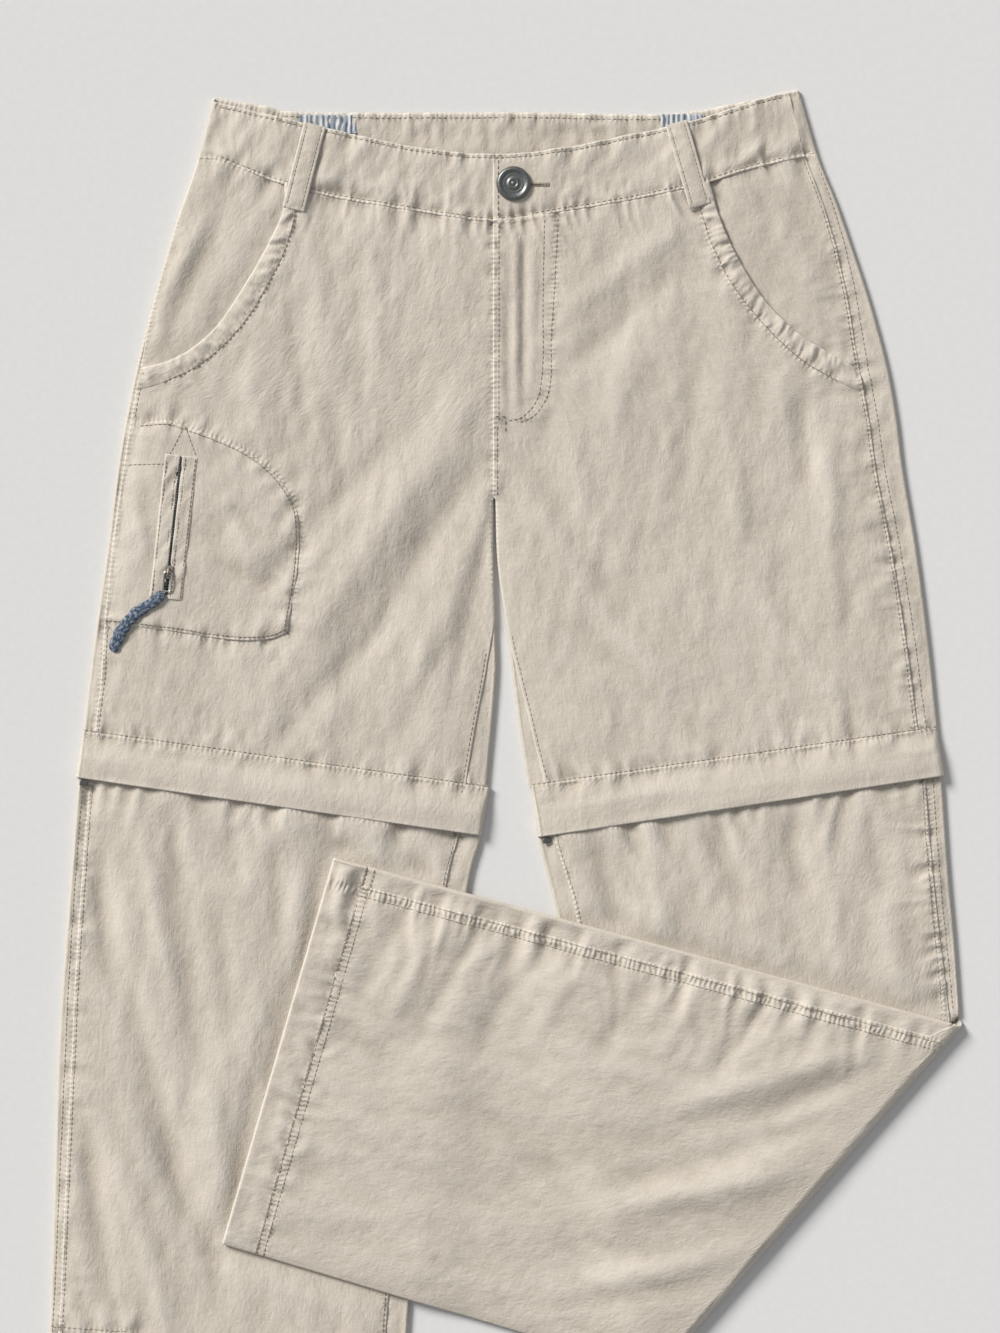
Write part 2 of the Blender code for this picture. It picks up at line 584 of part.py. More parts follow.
def curve_mesh(name, points, radius, cyclic, sides=2):
    """Round wire along points in metres, as a welded mesh."""
    data = bpy.data.curves.new(name, "CURVE")
    data.dimensions = "3D"
    data.bevel_depth = radius
    data.bevel_resolution = sides
    data.use_fill_caps = not cyclic
    line = data.splines.new("POLY")
    line.points.add(len(points) - 1)
    for point, place in zip(line.points, points):
        point.co = (*place, 1)
    line.use_cyclic_u = cyclic
    guide = bpy.data.objects.new(name, data)
    garment.objects.link(guide)
    evaluated = guide.evaluated_get(bpy.context.evaluated_depsgraph_get())
    mesh = bpy.data.meshes.new_from_object(evaluated)
    bpy.data.objects.remove(guide)
    work = bmesh.new()
    work.from_mesh(mesh)
    bmesh.ops.remove_doubles(work, verts=work.verts, dist=0.00001)
    bmesh.ops.recalc_face_normals(work, faces=work.faces)
    work.to_mesh(mesh)
    work.free()
    return mesh


def rounded_box(name, size, bevel, colour, **look):
    """Box with its edges rounded."""
    mesh = bpy.data.meshes.new(name)
    work = bmesh.new()
    bmesh.ops.create_cube(work, size=1)
    bmesh.ops.scale(work, vec=Vector(size), verts=work.verts)
    bmesh.ops.bevel(work, geom=work.edges[:], offset=bevel, segments=2, affect="EDGES", profile=0.5)
    work.to_mesh(mesh)
    work.free()
    return add(name, mesh, colour, **look)


def zip_pull():
    """Slider with a bridge over its plate, the wire loop that swings in the bridge, and the woven tab."""
    run, across = zip_frame()
    at = np.array(ZIP_SLIDER_AT, float)
    ground = float(top(at)) + CARGO_LIFT + SEAM + 0.8
    plate_low = ground + SEAM
    plate_top = plate_low + PLATE[2]
    turn = Matrix(((across[0], -run[0], 0, 0), (across[1], -run[1], 0, 0), (0, 0, 1, 0), (0, 0, 0, 1)))
    slider = rounded_box("zip_slider", [s * MM for s in PLATE], 0.3 * MM, (0.16, 0.15, 0.14), roughness=0.45,
                         metallic=0.6)
    slider.matrix_world = Matrix.Translation(Vector((*at, plate_low + PLATE[2] / 2)) * MM) @ turn
    pivot_z = plate_top + PULL_CLEAR + WIRE_R
    rise = pivot_z - plate_top + WIRE_R + PULL_CLEAR + BRIDGE_R
    angles = np.linspace(0, math.pi, 9)
    arch = [(0, -BRIDGE_SPAN / 2 * math.cos(a), rise * math.sin(a) ** 0.7) for a in angles]
    arch = [(0, arch[0][1], -0.6)] + arch + [(0, arch[-1][1], -0.6)]
    place = Matrix.Translation(Vector((*at, plate_top))) @ turn
    points = [tuple((place @ Vector(p)) * MM) for p in arch]
    bridge = bpy.data.objects.new("bridge", curve_mesh("bridge", points, BRIDGE_R * MM, False))
    cutters.objects.link(bridge)
    bridge.hide_render = True
    bridge.display_type = "WIRE"
    join = slider.modifiers.new("bridge", "BOOLEAN")
    join.operation = "UNION"
    join.object = bridge
    width, length = LOOP_SIZE
    corner = 1.1
    outline = []
    half = width / 2 - corner
    for cx, cy, start in ((half, length - corner, 0), (-half, length - corner, 90), (-half, corner, 180),
                          (half, corner, 270)):
        for step in (0, 30, 60, 90):
            angle = math.radians(start + step)
            outline.append((cx + corner * math.cos(angle), cy + corner * math.sin(angle)))
    tilt = 0.05
    hang = Matrix.Translation(Vector((*at, pivot_z))) @ turn
    wire = [tuple((hang @ Vector((x, -y, -tilt * y))) * MM) for x, y in outline]
    add("pull_loop", curve_mesh("pull_loop", wire, WIRE_R * MM, True), (0.30, 0.31, 0.33), roughness=0.35,
        metallic=0.9)
    path = along(TAB_PATH, np.linspace(0, 1, 11))
    deck = top(path) + CARGO_LIFT * smooth((path[:, 1] - 168) / 10) + SEAM
    start_z = pivot_z - tilt * length
    lie = deck + TAB_THICK / 2 + 0.2
    drop = smooth(np.linspace(0, 1, 11) * 2.6)
    z = np.maximum(start_z * (1 - drop) + lie * drop, lie)
    tangent = np.gradient(path, axis=0)
    tangent /= np.linalg.norm(tangent, axis=1)[:, None]
    side = np.stack([-tangent[:, 1], tangent[:, 0]], -1)
    ring = np.radians(np.arange(0, 360, 45) + 22.5)
    w = TAB_WIDTH / 2 * np.cos(ring)
    h = TAB_THICK / 2 * np.sin(ring)
    verts = path[:, None] + side[:, None] * w[None, :, None]
    body = lay(verts, z[:, None] + h[None])
    mesh = bpy.data.meshes.new("pull_tab")
    work = bmesh.new()
    rings = [[work.verts.new(Vector(p) * MM) for p in row] for row in body]
    for one, two in zip(rings[:-1], rings[1:]):
        for k in range(8):
            work.faces.new((one[k], one[(k + 1) % 8], two[(k + 1) % 8], two[k]))
    work.faces.new(rings[0])
    work.faces.new(rings[-1])
    bmesh.ops.recalc_face_normals(work, faces=work.faces)
    work.to_mesh(mesh)
    work.free()
    add("pull_tab", mesh, (0.07, 0.14, 0.27), roughness=0.85)
    print("zip pull pivot, mm:", at, round(pivot_z, 3), "axis", across)


def knee(side, upper, lower, slider_at):
    """Flap ring that covers the knee zip, the zip's tape under it, and the slider's tip at its end."""
    rows = []
    for v in np.linspace(0, 1, 4):
        left = np.array(upper[0], float) * (1 - v) + np.array(lower[0], float) * v
        right = np.array(upper[1], float) * (1 - v) + np.array(lower[1], float) * v
        rows.append(ring_row(left, right, top, FLAP_LIFT * smooth(v * 1.7), across=11))
    cloth(f"knee_flap_{side}", np.array(rows), closed=True)
    a, b = np.array(lower[0], float), np.array(lower[1], float)
    up = (np.array(upper[0], float) - a) / np.linalg.norm(np.subtract(upper[0], lower[0]))
    shares = np.linspace(0.045, 0.93, 12)
    spine = a + (b - a) * shares[:, None]
    plan = spine[None] + up * np.array([3 + TAPE_WIDTH, 3])[:, None, None]
    cloth(f"knee_zip_{side}", lay(plan, top(plan) + SEAM + TAPE_THICK), wall=TAPE_THICK,
          colour=(0.20, 0.18, 0.15))
    obj = rounded_box(f"knee_slider_{side}", (5 * MM, 3.2 * MM, 1.6 * MM), 0.5 * MM, (0.10, 0.10, 0.10),
                      roughness=0.5)
    place = np.array(slider_at, float)
    z = float(top(place)) + SEAM + 0.8
    angle = math.atan2(b[1] - a[1], b[0] - a[0])
    obj.matrix_world = Matrix.Translation(Vector((*place, z)) * MM) @ Matrix.Rotation(angle, 4, "Z")


def leg_end(left, right, height, base_lift, reach, name):
    """Hem ring at the end of a leg; reach is the vector from its sewn edge to its free edge at each side."""
    rows = []
    for v in (0, 0.5, 1):
        one = np.array(left, float) + np.array(reach[0], float) * v
        two = np.array(right, float) + np.array(reach[1], float) * v
        row = ring_row(one, two, height, HEM_LIFT, across=10)
        row[:, 2] += base_lift(row[:, :2])
        rows.append(row)
    return cloth(name, np.array(rows), closed=True)


def lower_rows(outline, inner, start, stop, shares):
    """Row ends of a lower leg between the heights at its outer and inner edge."""
    outer_y = start[0] + (stop[0] - start[0]) * shares
    inner_y = start[1] + (stop[1] - start[1]) * shares
    return np.stack([x_on(outline, outer_y), outer_y], -1), np.stack([x_on(inner, inner_y), inner_y], -1)


def lower_front(name, outer, inner, mirrored):
    """Front panel of a lower leg between its two seams; its top is tucked under the knee flap."""
    cols = np.linspace(0, 1, 9)[:, None]
    plan = outer[:, None] + (inner - outer)[:, None] * cols[None]
    cloth(name, mirror_rows(lay(plan, top(plan)), mirrored))


def lower_left():
    """Left lower leg: back that wraps both edges, front between the seams, and the hem ring."""
    start = (FLAP_LEFT_LOW[0][1] - SEAM, FLAP_LEFT_LOW[1][1] - SEAM)
    hem_y = LEFT_HEM_Y + HEM_HEIGHT
    shares = np.concatenate([[-0.016], np.linspace(0, 1, 17)])
    side, inner = lower_rows(LEFT_OUTLINE, LEFT_INNER, start, (hem_y + SEAM, hem_y + SEAM), shares)
    rows = [wrap_row(a, b, turn_of(inset_at(LEFT_SEAM, a[1])), turn_of(inset_at(LEFT_INSEAM, b[1])), middle=4)
            for a, b in zip(side[1:], inner[1:])]
    cloth("lower_back_left", np.array(rows), flip=True)
    lower_front("lower_front_left", *seam_points(side, inner, LEFT_SEAM, LEFT_INSEAM), False)
    ends = [(x_on(LEFT_OUTLINE, hem_y), hem_y), (x_on(LEFT_INNER, hem_y), hem_y)]
    feet = [(x_on(LEFT_OUTLINE, LEFT_HEM_Y), LEFT_HEM_Y), (x_on(LEFT_INNER, LEFT_HEM_Y), LEFT_HEM_Y)]
    leg_end(ends[0], ends[1], top, lambda xy: 0, np.subtract(feet, ends), "hem_left")


def turned_row(upper, lower, inset_upper, under):
    """One row across the folded leg. The back shows on top, from the felled seam to the lower edge; the
    hidden layers under it come round the upper edge to that seam."""
    upper, lower = np.array(upper, float), np.array(lower, float)
    width = np.linalg.norm(lower - upper)
    if under:
        start, start_z = edge_profile(edge_turns(turn_of(inset_upper) - SEAM / 2)[::-1])
        end, end_z = edge_profile(np.linspace(-QUARTER, -1.7 * EDGE_SEAM, 4))
        a = np.concatenate([start, np.linspace(start[-1], width - end[0], 7)[1:-1], width - end])
        z = np.concatenate([start_z, np.zeros(5), end_z])
        on_top = np.arange(len(a)) == 0
    else:
        end, end_z = edge_profile(np.linspace(QUARTER, 1.7 * EDGE_SEAM, 3))
        first = inset_upper + SEAM / 2
        near = np.linspace(first, first + 5 * EDGE_R, 6)
        far = width - np.array([5, 3.4, 1.8]) * EDGE_R
        a = np.concatenate([near, np.linspace(near[-1], far[0], 6)[1:-1], far, width - end])
        z = np.concatenate([np.zeros(13), end_z])
        on_top = np.arange(len(a)) < 13
    xy = upper + (lower - upper) / width * a[:, None]
    return lay(xy, fold_base(xy) + np.where(on_top, turned_top(xy), z))


def axis_height(outline, fold_y):
    """Height on an outline where the cloth starts to turn up, one fold radius short of the fold."""
    y = np.linspace(fold_y, fold_y + 20, 60)
    return float(np.interp(FOLD_R, distance(np.stack([x_on(outline, y), y], -1), FOLD_LINE), y))


def lower_right():
    """Right lower leg. Its back lies on the table, turns up round the fold and becomes the top of the
    folded part. Its front shows above the folded part and runs in under it."""
    a, b, c, d = (np.array(p, float) for p in (CORNER_A, CORNER_B, CORNER_C, CORNER_D))
    along_fold = (c - b) / np.linalg.norm(c - b)
    away = np.array([-along_fold[1], along_fold[0]])
    if away @ (b - a) < 0:
        away = -away
    reach_a, reach_d = (b - a) @ away, (c - d) @ away
    first = (FOLD_R / reach_a, FOLD_R / reach_d)
    hem_share = (1 - HEM_HEIGHT / np.linalg.norm(b - a), 1 - HEM_HEIGHT / np.linalg.norm(c - d))
    start = (FLAP_RIGHT_LOW[1][1] - SEAM, FLAP_RIGHT_LOW[0][1] - SEAM)
    stop = [axis_height(RIGHT_OUTLINE, b[1]), axis_height(RIGHT_INNER, c[1])]
    shares = np.array([-0.05, 0, 0.12, 0.25, 0.4, 0.55, 0.7, 0.84, 0.93, 0.965, 0.985, 1])
    side, inner = lower_rows(RIGHT_OUTLINE, RIGHT_INNER, start, stop, shares)
    rows = [wrap_row(one, two, turn_of(inset_at(RIGHT_SEAM, one[1])), turn_of(inset_at(RIGHT_INSEAM, two[1])),
                     middle=4) for one, two in zip(side[1:-2], inner[1:-2])]
    rows.append(wrap_row(side[-2], inner[-2], -QUARTER / 3, -QUARTER / 3, middle=4))
    flat = wrap_row(side[-1], inner[-1], None, None, middle=4)
    level = wrap_row(b + (a - b) * first[0], c + (d - c) * first[1], None, None, middle=4)
    for angle in np.linspace(0, math.pi, 6)[:-1]:
        turned = flat + (level - flat) * angle / math.pi
        turned[:, :2] += away * FOLD_R * math.sin(angle)
        turned[:, 2] = FOLD_R * (1 - math.cos(angle))
        rows.append(turned)
    fractions = np.concatenate([[0.0, 0.008, 0.017], np.linspace(0.06, 1, 11)])
    for t in fractions:
        share = [first[k] + (hem_share[k] - first[k]) * t for k in (0, 1)]
        if t == 1:
            share = [share[0] - SEAM / np.linalg.norm(b - a), share[1] - SEAM / np.linalg.norm(c - d)]
        rows.append(turned_row(b + (a - b) * share[0], c + (d - c) * share[1],
                               FELLED_INSET * min(t / 0.017, 1), False))
    cloth("lower_back_right", np.array(rows))
    rows = []
    for t in np.linspace(0.024, 1, 11):
        share = [first[k] + (hem_share[k] - first[k]) * t for k in (0, 1)]
        if t == 1:
            share = [share[0] - SEAM / np.linalg.norm(b - a), share[1] - SEAM / np.linalg.norm(c - d)]
        rows.append(turned_row(b + (a - b) * share[0], c + (d - c) * share[1], FELLED_INSET, True))
    cloth("fold_layers_right", np.array(rows), flip=True)
    lower_front("lower_front_right", *seam_points(side[:-2], inner[:-2], RIGHT_SEAM, RIGHT_INSEAM), True)
    upper_end, lower_end = b + (a - b) * hem_share[0], c + (d - c) * hem_share[1]
    leg_end(upper_end, lower_end, turned_top, fold_base, [a - upper_end, d - lower_end], "hem_right")


for old in list(bpy.data.objects):
    bpy.data.objects.remove(old)
garment = bpy.data.collections.new("zip_off_trousers")
cutters = bpy.data.collections.new("cutters")
bpy.context.scene.collection.children.link(garment)
bpy.context.scene.collection.children.link(cutters)

half_of_shorts("left", LEFT_OUTLINE, LEFT_INNER, LEFT_SEAM, LEFT_INSEAM, (457, 448, 419), (112, 78),
               POCKET_EDGE_LEFT, POCKET_STITCH_LEFT, False)
half_of_shorts("right", RIGHT_OUTLINE, RIGHT_INNER, RIGHT_SEAM, RIGHT_INSEAM, (460, 448, 419), (114, 79),
               POCKET_EDGE_RIGHT, POCKET_STITCH_RIGHT, True)
waistband()
fly()
belt_loops()
elastics()
waist_button()
cargo_pocket()
zip_pull()
knee("left", FLAP_LEFT_TOP, FLAP_LEFT_LOW, (-247.5, 81.5))
knee("right", FLAP_RIGHT_TOP, FLAP_RIGHT_LOW, (30.5, 47.0))
lower_left()
lower_right()
print("pieces:", len(garment.objects))
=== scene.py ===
# %% [markdown]
# # Convertible zip-off trousers, laid flat
# The trousers lie on a pale floor with one lower leg folded across the other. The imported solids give
# the true size and place of every sewn piece. This script dresses them: each cloth piece becomes a
# fine sheet with creases, gathers and stitches, and the small metal parts get their finish.

# %% Load the frame
import math

import bpy
import numpy as np
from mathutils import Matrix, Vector


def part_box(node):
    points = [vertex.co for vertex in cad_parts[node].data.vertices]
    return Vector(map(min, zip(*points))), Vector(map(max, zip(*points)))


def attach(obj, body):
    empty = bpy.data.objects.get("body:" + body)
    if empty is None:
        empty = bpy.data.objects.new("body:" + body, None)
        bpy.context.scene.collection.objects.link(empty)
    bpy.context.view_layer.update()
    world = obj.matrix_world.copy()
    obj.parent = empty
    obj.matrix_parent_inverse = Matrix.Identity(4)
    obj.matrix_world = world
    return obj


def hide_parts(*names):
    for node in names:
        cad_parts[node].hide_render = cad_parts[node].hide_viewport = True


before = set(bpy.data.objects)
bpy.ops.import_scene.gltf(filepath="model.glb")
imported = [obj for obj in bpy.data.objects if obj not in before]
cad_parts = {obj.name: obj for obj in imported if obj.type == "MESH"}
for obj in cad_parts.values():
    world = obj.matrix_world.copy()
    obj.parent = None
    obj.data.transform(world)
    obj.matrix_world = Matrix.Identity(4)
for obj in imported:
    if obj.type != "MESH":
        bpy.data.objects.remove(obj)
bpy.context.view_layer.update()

# %% [markdown]
# ## Sizes
# All plan tables are in millimetres, from the centre of the laid garment: x to the right, y towards the
# waist. They repeat the driving sizes of the solids, so that the fine surfaces lie where the solids do.

# %% Sizes of the cloth and outlines of the laid garment
MM = 0.001
WALL = 0.7            # thickness of one layer of cloth
EDGE_R = 1.8          # radius of a rolled side edge
PUFF = 2.4            # rise of the upper layer away from the edges
PUFF_REACH = 22.0
QUARTER = EDGE_R * math.pi / 2
STEP = 1.9            # distance between mesh lines on open cloth
LAP = 0.7             # one panel's turned edge laps the next one by this much at a seam
LIFT = 0.6            # and lies this much higher

LEFT_OUTLINE = [(-170, 493), (-179, 457), (-192, 419), (-206, 371), (-218, 323), (-227, 275), (-233, 227),
                (-240, 179), (-246, 131), (-251, 85), (-256, 21), (-263, -79), (-268, -238), (-274, -349),
                (-280, -498)]
RIGHT_OUTLINE = [(182, 498), (193, 460), (205, 430), (215, 401), (223, 377), (230, 353), (236, 329),
                 (241, 301), (245, 269), (253, 221), (260, 167), (265, 119), (268, 86), (272, 28),
                 (276, -17), (279.2, -64)]
LEFT_INNER = [(-1.5, 251), (-1.5, 218), (0, 169), (0, 145), (-4, 98), (-9, 50), (-17, 17), (-34, -97),
              (-52, -230), (-55, -349), (-55, -498)]
RIGHT_INNER = [(-0.5, 251), (1, 212), (7, 169), (13, 121), (17, 95), (25, 49), (31, 25), (37, 0),
               (50, -67), (70, -157), (97, -273)]
CENTRE_X = -1.0
CROTCH_Y = 251.0
CROTCH_SIDE_Y = 285.0
LEFT_SEAM = [(493, 0), (380, 0), (331, 3.5), (274, 4.5), (224, 3.5), (178, 5.5), (145, 8), (85, 7.5),
             (14, 7.5), (-79, 9), (-244, 6.5), (-499, 8)]
RIGHT_SEAM = [(498, 7), (455, 8), (405, 10), (376, 13), (353, 16), (331, 18), (269, 17), (197, 15),
              (120, 13), (86, 11), (0, 11), (-64, 9)]
LEFT_INSEAM = [(251, 0), (184, 0), (154, 6), (121, 10), (83, 13), (50, 14), (-103, 13), (-499, 14)]
RIGHT_INSEAM = [(251, 0), (185, 0), (160, 2), (121, 7), (85, 10), (50, 10), (11, 12), (-273, 12)]
POCKET_FOOT_Y = 331.0
STITCH_FOOT_Y = 318.0

BAND_TOP_FRONT = [(-170, 491), (-133, 482), (-94, 473), (-46, 463), (-1, 459), (41, 463), (76, 470),
                  (118, 479), (161, 493), (182, 498)]
BAND_TOP_BACK = [(-170, 493), (-139, 488), (-113, 484), (13, 484), (99, 483), (143, 489), (182, 498)]
BAND_LOW_FRONT = [(-179, 457), (-166, 456), (-146, 448), (-126, 441), (-94, 433), (-46, 425), (-1, 419),
                  (39, 425), (76, 431), (122, 441), (154, 451), (193, 460)]
BAND_LOW_BACK = [(-179, 457), (-1, 448), (193, 460)]
POCKET_EDGE = {"left": [(-127, 441), (-128, 425), (-139, 401), (-152, 379), (-167, 357), (-182, 343),
                        (-197, 335)],
               "right": [(128, 442.5), (134, 422), (142, 403), (156, 379), (170, 362), (185, 349),
                         (200, 340)]}
POCKET_STITCH = {"left": [(-121, 439.5), (-121, 422), (-127, 401), (-137, 381), (-149, 361), (-164, 344),
                          (-181, 331), (-200, 322)],
                 "right": [(120, 440.5), (124, 421), (131, 401), (142, 380), (156, 362), (171, 346),
                           (187, 333), (205, 323)]}
FLY_OUTER = [(37, 421), (36, 400), (35, 378), (33, 350), (33, 329), (31, 315), (24, 303), (14, 298)]
FLY_INNER = [(29, 420), (28.5, 400), (28, 364), (28, 335), (25, 313), (16, 301.5), (7, 299)]
FLY_FOOT_Y = 299.0
LOOP_WIDTH = 13.5
LOOPS = {"left": [(-108.5, 476.5), (-121.5, 425.5)], "right": [(108, 477.5), (122.5, 427.5)]}
ELASTICS = {"left": (-118, -83, 471.5, 483), "right": (99, 125, 472.5, 483.5)}
BUTTON_AT = (10.5, 441)
BUTTON_R = 10.3
CARGO_SIDE = [(-214, 298), (-223, 272), (-229.5, 224), (-236, 177)]
CARGO_TOP = [(-214, 298), (-197, 299), (-187, 296), (-170, 290), (-154, 283), (-140, 274)]
CARGO_FRONT = [(-140, 274), (-129, 263), (-120, 248), (-118, 232), (-119, 209), (-122, 190), (-125, 172)]
CARGO_FOOT = [(-236, 177), (-221, 176), (-206, 174), (-190, 172), (-172, 169), (-152, 167), (-135, 168),
              (-125, 172)]
CARGO_LIFT = 1.3
ZIP_TOP = (-188.5, 278)
ZIP_FOOT = (-198, 192)
ZIP_GAP = 2.6
SLIT = 1.3
WELT_WIDTH = 8.5
FLAP_TOP = {"left": [(-248.5, 112), (-4, 78)], "right": [(21, 79), (265, 114)]}
FLAP_LOW = {"left": [(-252.5, 85), (-9, 50)], "right": [(25, 49), (269.5, 86)]}
FLAP_LIFT = 2.6
HEM_HEIGHT = 20.0
HEM_LIFT = 0.5
LEFT_HEM_Y = -498.0
CORNER_A = (-97, 37)
CORNER_B = (279.2, -64)
CORNER_C = (97, -273)
CORNER_D = (-164, -195)
FOLD_Z = 4.5
FOLD_R = FOLD_Z / 2 + EDGE_R
FOLD_SAG = 2.6
FELLED_INSET = 12.0
print("outseam", round(LEFT_OUTLINE[0][1] - LEFT_HEM_Y), "mm")

# %% [markdown]
# ## Curves and distances
# A pattern maker draws a seam through a few marks. The same few marks become a smooth curve here, and
# the distance of every mesh point from a seam decides how strongly the seam draws up the cloth.

# %% Curves through marked points, and distances from them


def spline(points, per_span=6):
    """Catmull-Rom curve through the given points, as a dense row of points."""
    p = np.array(points, float)
    if len(p) == 2:
        return p[0] + (p[1] - p[0]) * np.linspace(0, 1, per_span + 1)[:, None]
    q = np.vstack([2 * p[0] - p[1], p, 2 * p[-1] - p[-2]])
    t = np.linspace(0, 1, per_span, endpoint=False)[:, None]
    spans = [b + 0.5 * ((c - a) * t + (2 * a - 5 * b + 4 * c - d) * t ** 2 + (3 * b - a - 3 * c + d) * t ** 3)
             for a, b, c, d in zip(q[:-3], q[1:-2], q[2:-1], q[3:])]
    return np.vstack(spans + [p[-1:]])


def unit(vectors):
    """Vectors of length one."""
    return vectors / np.linalg.norm(vectors, axis=-1)[..., None]


def run_of(line):
    """Length along a row of points, from 0 at its start."""
    return np.concatenate([[0], np.cumsum(np.linalg.norm(np.diff(line, axis=0), axis=1))])


def along(points, fractions):
    """Points at fractions of the length of the curve through the given points."""
    line = spline(points, 8)
    run = run_of(line)
    where = np.asarray(fractions) * run[-1]
    return np.stack([np.interp(where, run, line[:, k]) for k in range(line.shape[1])], axis=-1)


def x_on(points, y):
    """x of an outline at height y."""
    line = spline(points, 8)[::-1]
    return np.interp(y, line[:, 1], line[:, 0])


def inset_at(table, y):
    """Inset of a seam at height y, from a table that runs down the leg."""
    rows = np.array(table[::-1], float)
    return np.interp(y, rows[:, 0], rows[:, 1])


def smooth(x):
    """Smooth step: 3x² - 2x³ between 0 and 1."""
    x = np.clip(x, 0, 1)
    return x * x * (3 - 2 * x)


def nearest(xy, line):
    """Distance from plan points to a line of straight runs, and how far along it the nearest place is."""
    best, where, start = np.full(xy.shape[:-1], 1e9), np.zeros(xy.shape[:-1]), 0.0
    for a, b in zip(line[:-1], line[1:]):
        run = b - a
        length = max(float(np.hypot(*run)), 1e-6)
        rel = xy - a
        t = np.clip(rel @ run / length ** 2, 0, 1)
        off = np.hypot(rel[..., 0] - t * run[0], rel[..., 1] - t * run[1])
        where = np.where(off < best, start + t * length, where)
        best = np.minimum(best, off)
        start += length
    return best, where


def distance(xy, lines):
    """Distance from plan points to the nearest of several lines."""
    return np.min([nearest(xy, line)[0] for line in lines], axis=0)


def noise(u, v, seed):
    """Value noise between -1 and 1: random values on a unit grid, blended with a smooth step."""
    table = np.random.default_rng(seed).uniform(-1, 1, (97, 97))
    i, j = np.floor(u).astype(int), np.floor(v).astype(int)
    a, b = smooth(u - i), smooth(v - j)
    near = (1 - a) * table[i % 97, j % 97] + a * table[(i + 1) % 97, j % 97]
    far = (1 - a) * table[i % 97, (j + 1) % 97] + a * table[(i + 1) % 97, (j + 1) % 97]
    return (1 - b) * near + b * far


def creased(xy, width, length, angle, seed):
    """Noise drawn out into creases of that width and length, which run at an angle from the x axis."""
    c, s = math.cos(math.radians(angle)), math.sin(math.radians(angle))
    return noise((-xy[..., 0] * s + xy[..., 1] * c) / width, (xy[..., 0] * c + xy[..., 1] * s) / length, seed)


def folds(xy, table):
    """Sum of listed folds: a bell across each one and a taper towards its ends."""
    total = np.zeros(xy.shape[:-1])
    for start, end, width, height in table:
        a = np.array(start, float)
        run = np.array(end, float) - a
        length = np.linalg.norm(run)
        rel = xy - a
        s = rel @ run / length
        off = (rel[..., 0] * run[1] - rel[..., 1] * run[0]) / length
        taper = smooth((s + 0.15 * length) / (0.4 * length)) * smooth((1.15 * length - s) / (0.4 * length))
        total += height * np.exp(-(off / width) ** 2) * taper
    return total


def gathers(xy, line, reach, size, depth, seed):
    """Small pleats drawn up by a row of stitches: noise along the line, fading out away from it."""
    d, s = nearest(xy, line)
    lean = s + 0.35 * d * noise(s / 30, d / 30, seed + 2)
    pleats = 0.7 * noise(lean / size, d / (2.2 * reach) + 3, seed)
    pleats += 0.75 * (0.55 - 2 * np.abs(noise(lean / size + 40, d / (1.6 * reach), seed + 1)))
    dimples = 0.16 * noise(s / 2.6, d / 3 + 5, seed + 3) * np.exp(-d / 3)
    return depth * pleats * np.exp(-(d / reach) ** 1.3) * (0.45 + 0.55 * smooth(d / 2)) + dimples


# %% [markdown]
# ## How high the cloth lies
# Two layers meet in a rolled edge, so the upper layer starts at the edge's middle, turns up round a
# small radius and rises a little more towards the middle of the panel. The largest folds are the same
# as in the solids. Finer creases and gathers are added on top of that, with a mean of about nothing.

# %% Base height of the laid layers
SIDE_EDGES = [spline(line, 5) for line in (LEFT_OUTLINE, RIGHT_OUTLINE, LEFT_INNER, RIGHT_INNER)]
TURNED_EDGES = [np.array([CORNER_A, CORNER_B], float), np.array([CORNER_D, CORNER_C], float)]
FOLD_LINE = [np.array([CORNER_B, CORNER_C], float)]
ZIP_LINE = [np.array([ZIP_TOP, ZIP_FOOT], float)]
SHORT_FOLDS = [((-161, 440), (-195, 352), 7, -1.5), ((-146, 420), (-170, 372), 7, 0.8),
               ((182, 430), (212, 368), 7, -1.4), ((168, 420), (190, 378), 6, 0.7),
               ((38, 215), (158, 131), 14, -0.9), ((-34, 239), (-118, 152), 14, -0.8),
               ((-221, -79), (-175, -179), 11, -1.2), ((-247, -124), (-232, -240), 9, -0.9),
               ((-220, 55), (-192, -60), 12, -0.9), ((-150, 40), (-100, -60), 13, 0.8),
               ((-190, -260), (-110, -400), 14, -1.0), ((122, 53), (160, -15), 10, -0.8)]
TURNED_FOLDS = [((232, -95), (2, -155), 13, -1.5), ((194, -178), (22, -208), 13, -1.4),
                ((180, -140), (30, -180), 14, 0.9), ((-40, -20), (-70, -120), 14, -0.8)]


def roll(d):
    """Height of a rolled edge at distance d inside it: a quarter circle, then level."""
    inside = EDGE_R - np.clip(d, 0, EDGE_R)
    return EDGE_R + np.sqrt(EDGE_R ** 2 - inside ** 2)


def beyond_fold(xy):
    """Distance of a plan point outside the folded part's four sides, 0 inside."""
    corners = np.array([CORNER_A, CORNER_B, CORNER_C, CORNER_D], float)
    outside = np.full(xy.shape[:-1], -1e9)
    for a, b in zip(corners, np.roll(corners, -1, axis=0)):
        run = unit(b - a)
        outside = np.maximum(outside, -(xy[..., 0] - a[0]) * run[1] + (xy[..., 1] - a[1]) * run[0])
    return np.maximum(outside, 0)


def rise_from(d):
    """Rise of the upper layer at distance d from the nearest edge, towards the full puff."""
    return PUFF * (1 - np.exp(-np.maximum(d - EDGE_R, 0) / PUFF_REACH))


def fold_base(xy):
    """Underside of the folded leg: level on the legs, lower where it bridges the gap between them."""
    inside = np.minimum(xy[..., 0] - x_on(LEFT_INNER, xy[..., 1]), x_on(RIGHT_INNER, xy[..., 1]) - xy[..., 0])
    return FOLD_Z - FOLD_SAG * smooth(inside / 38)
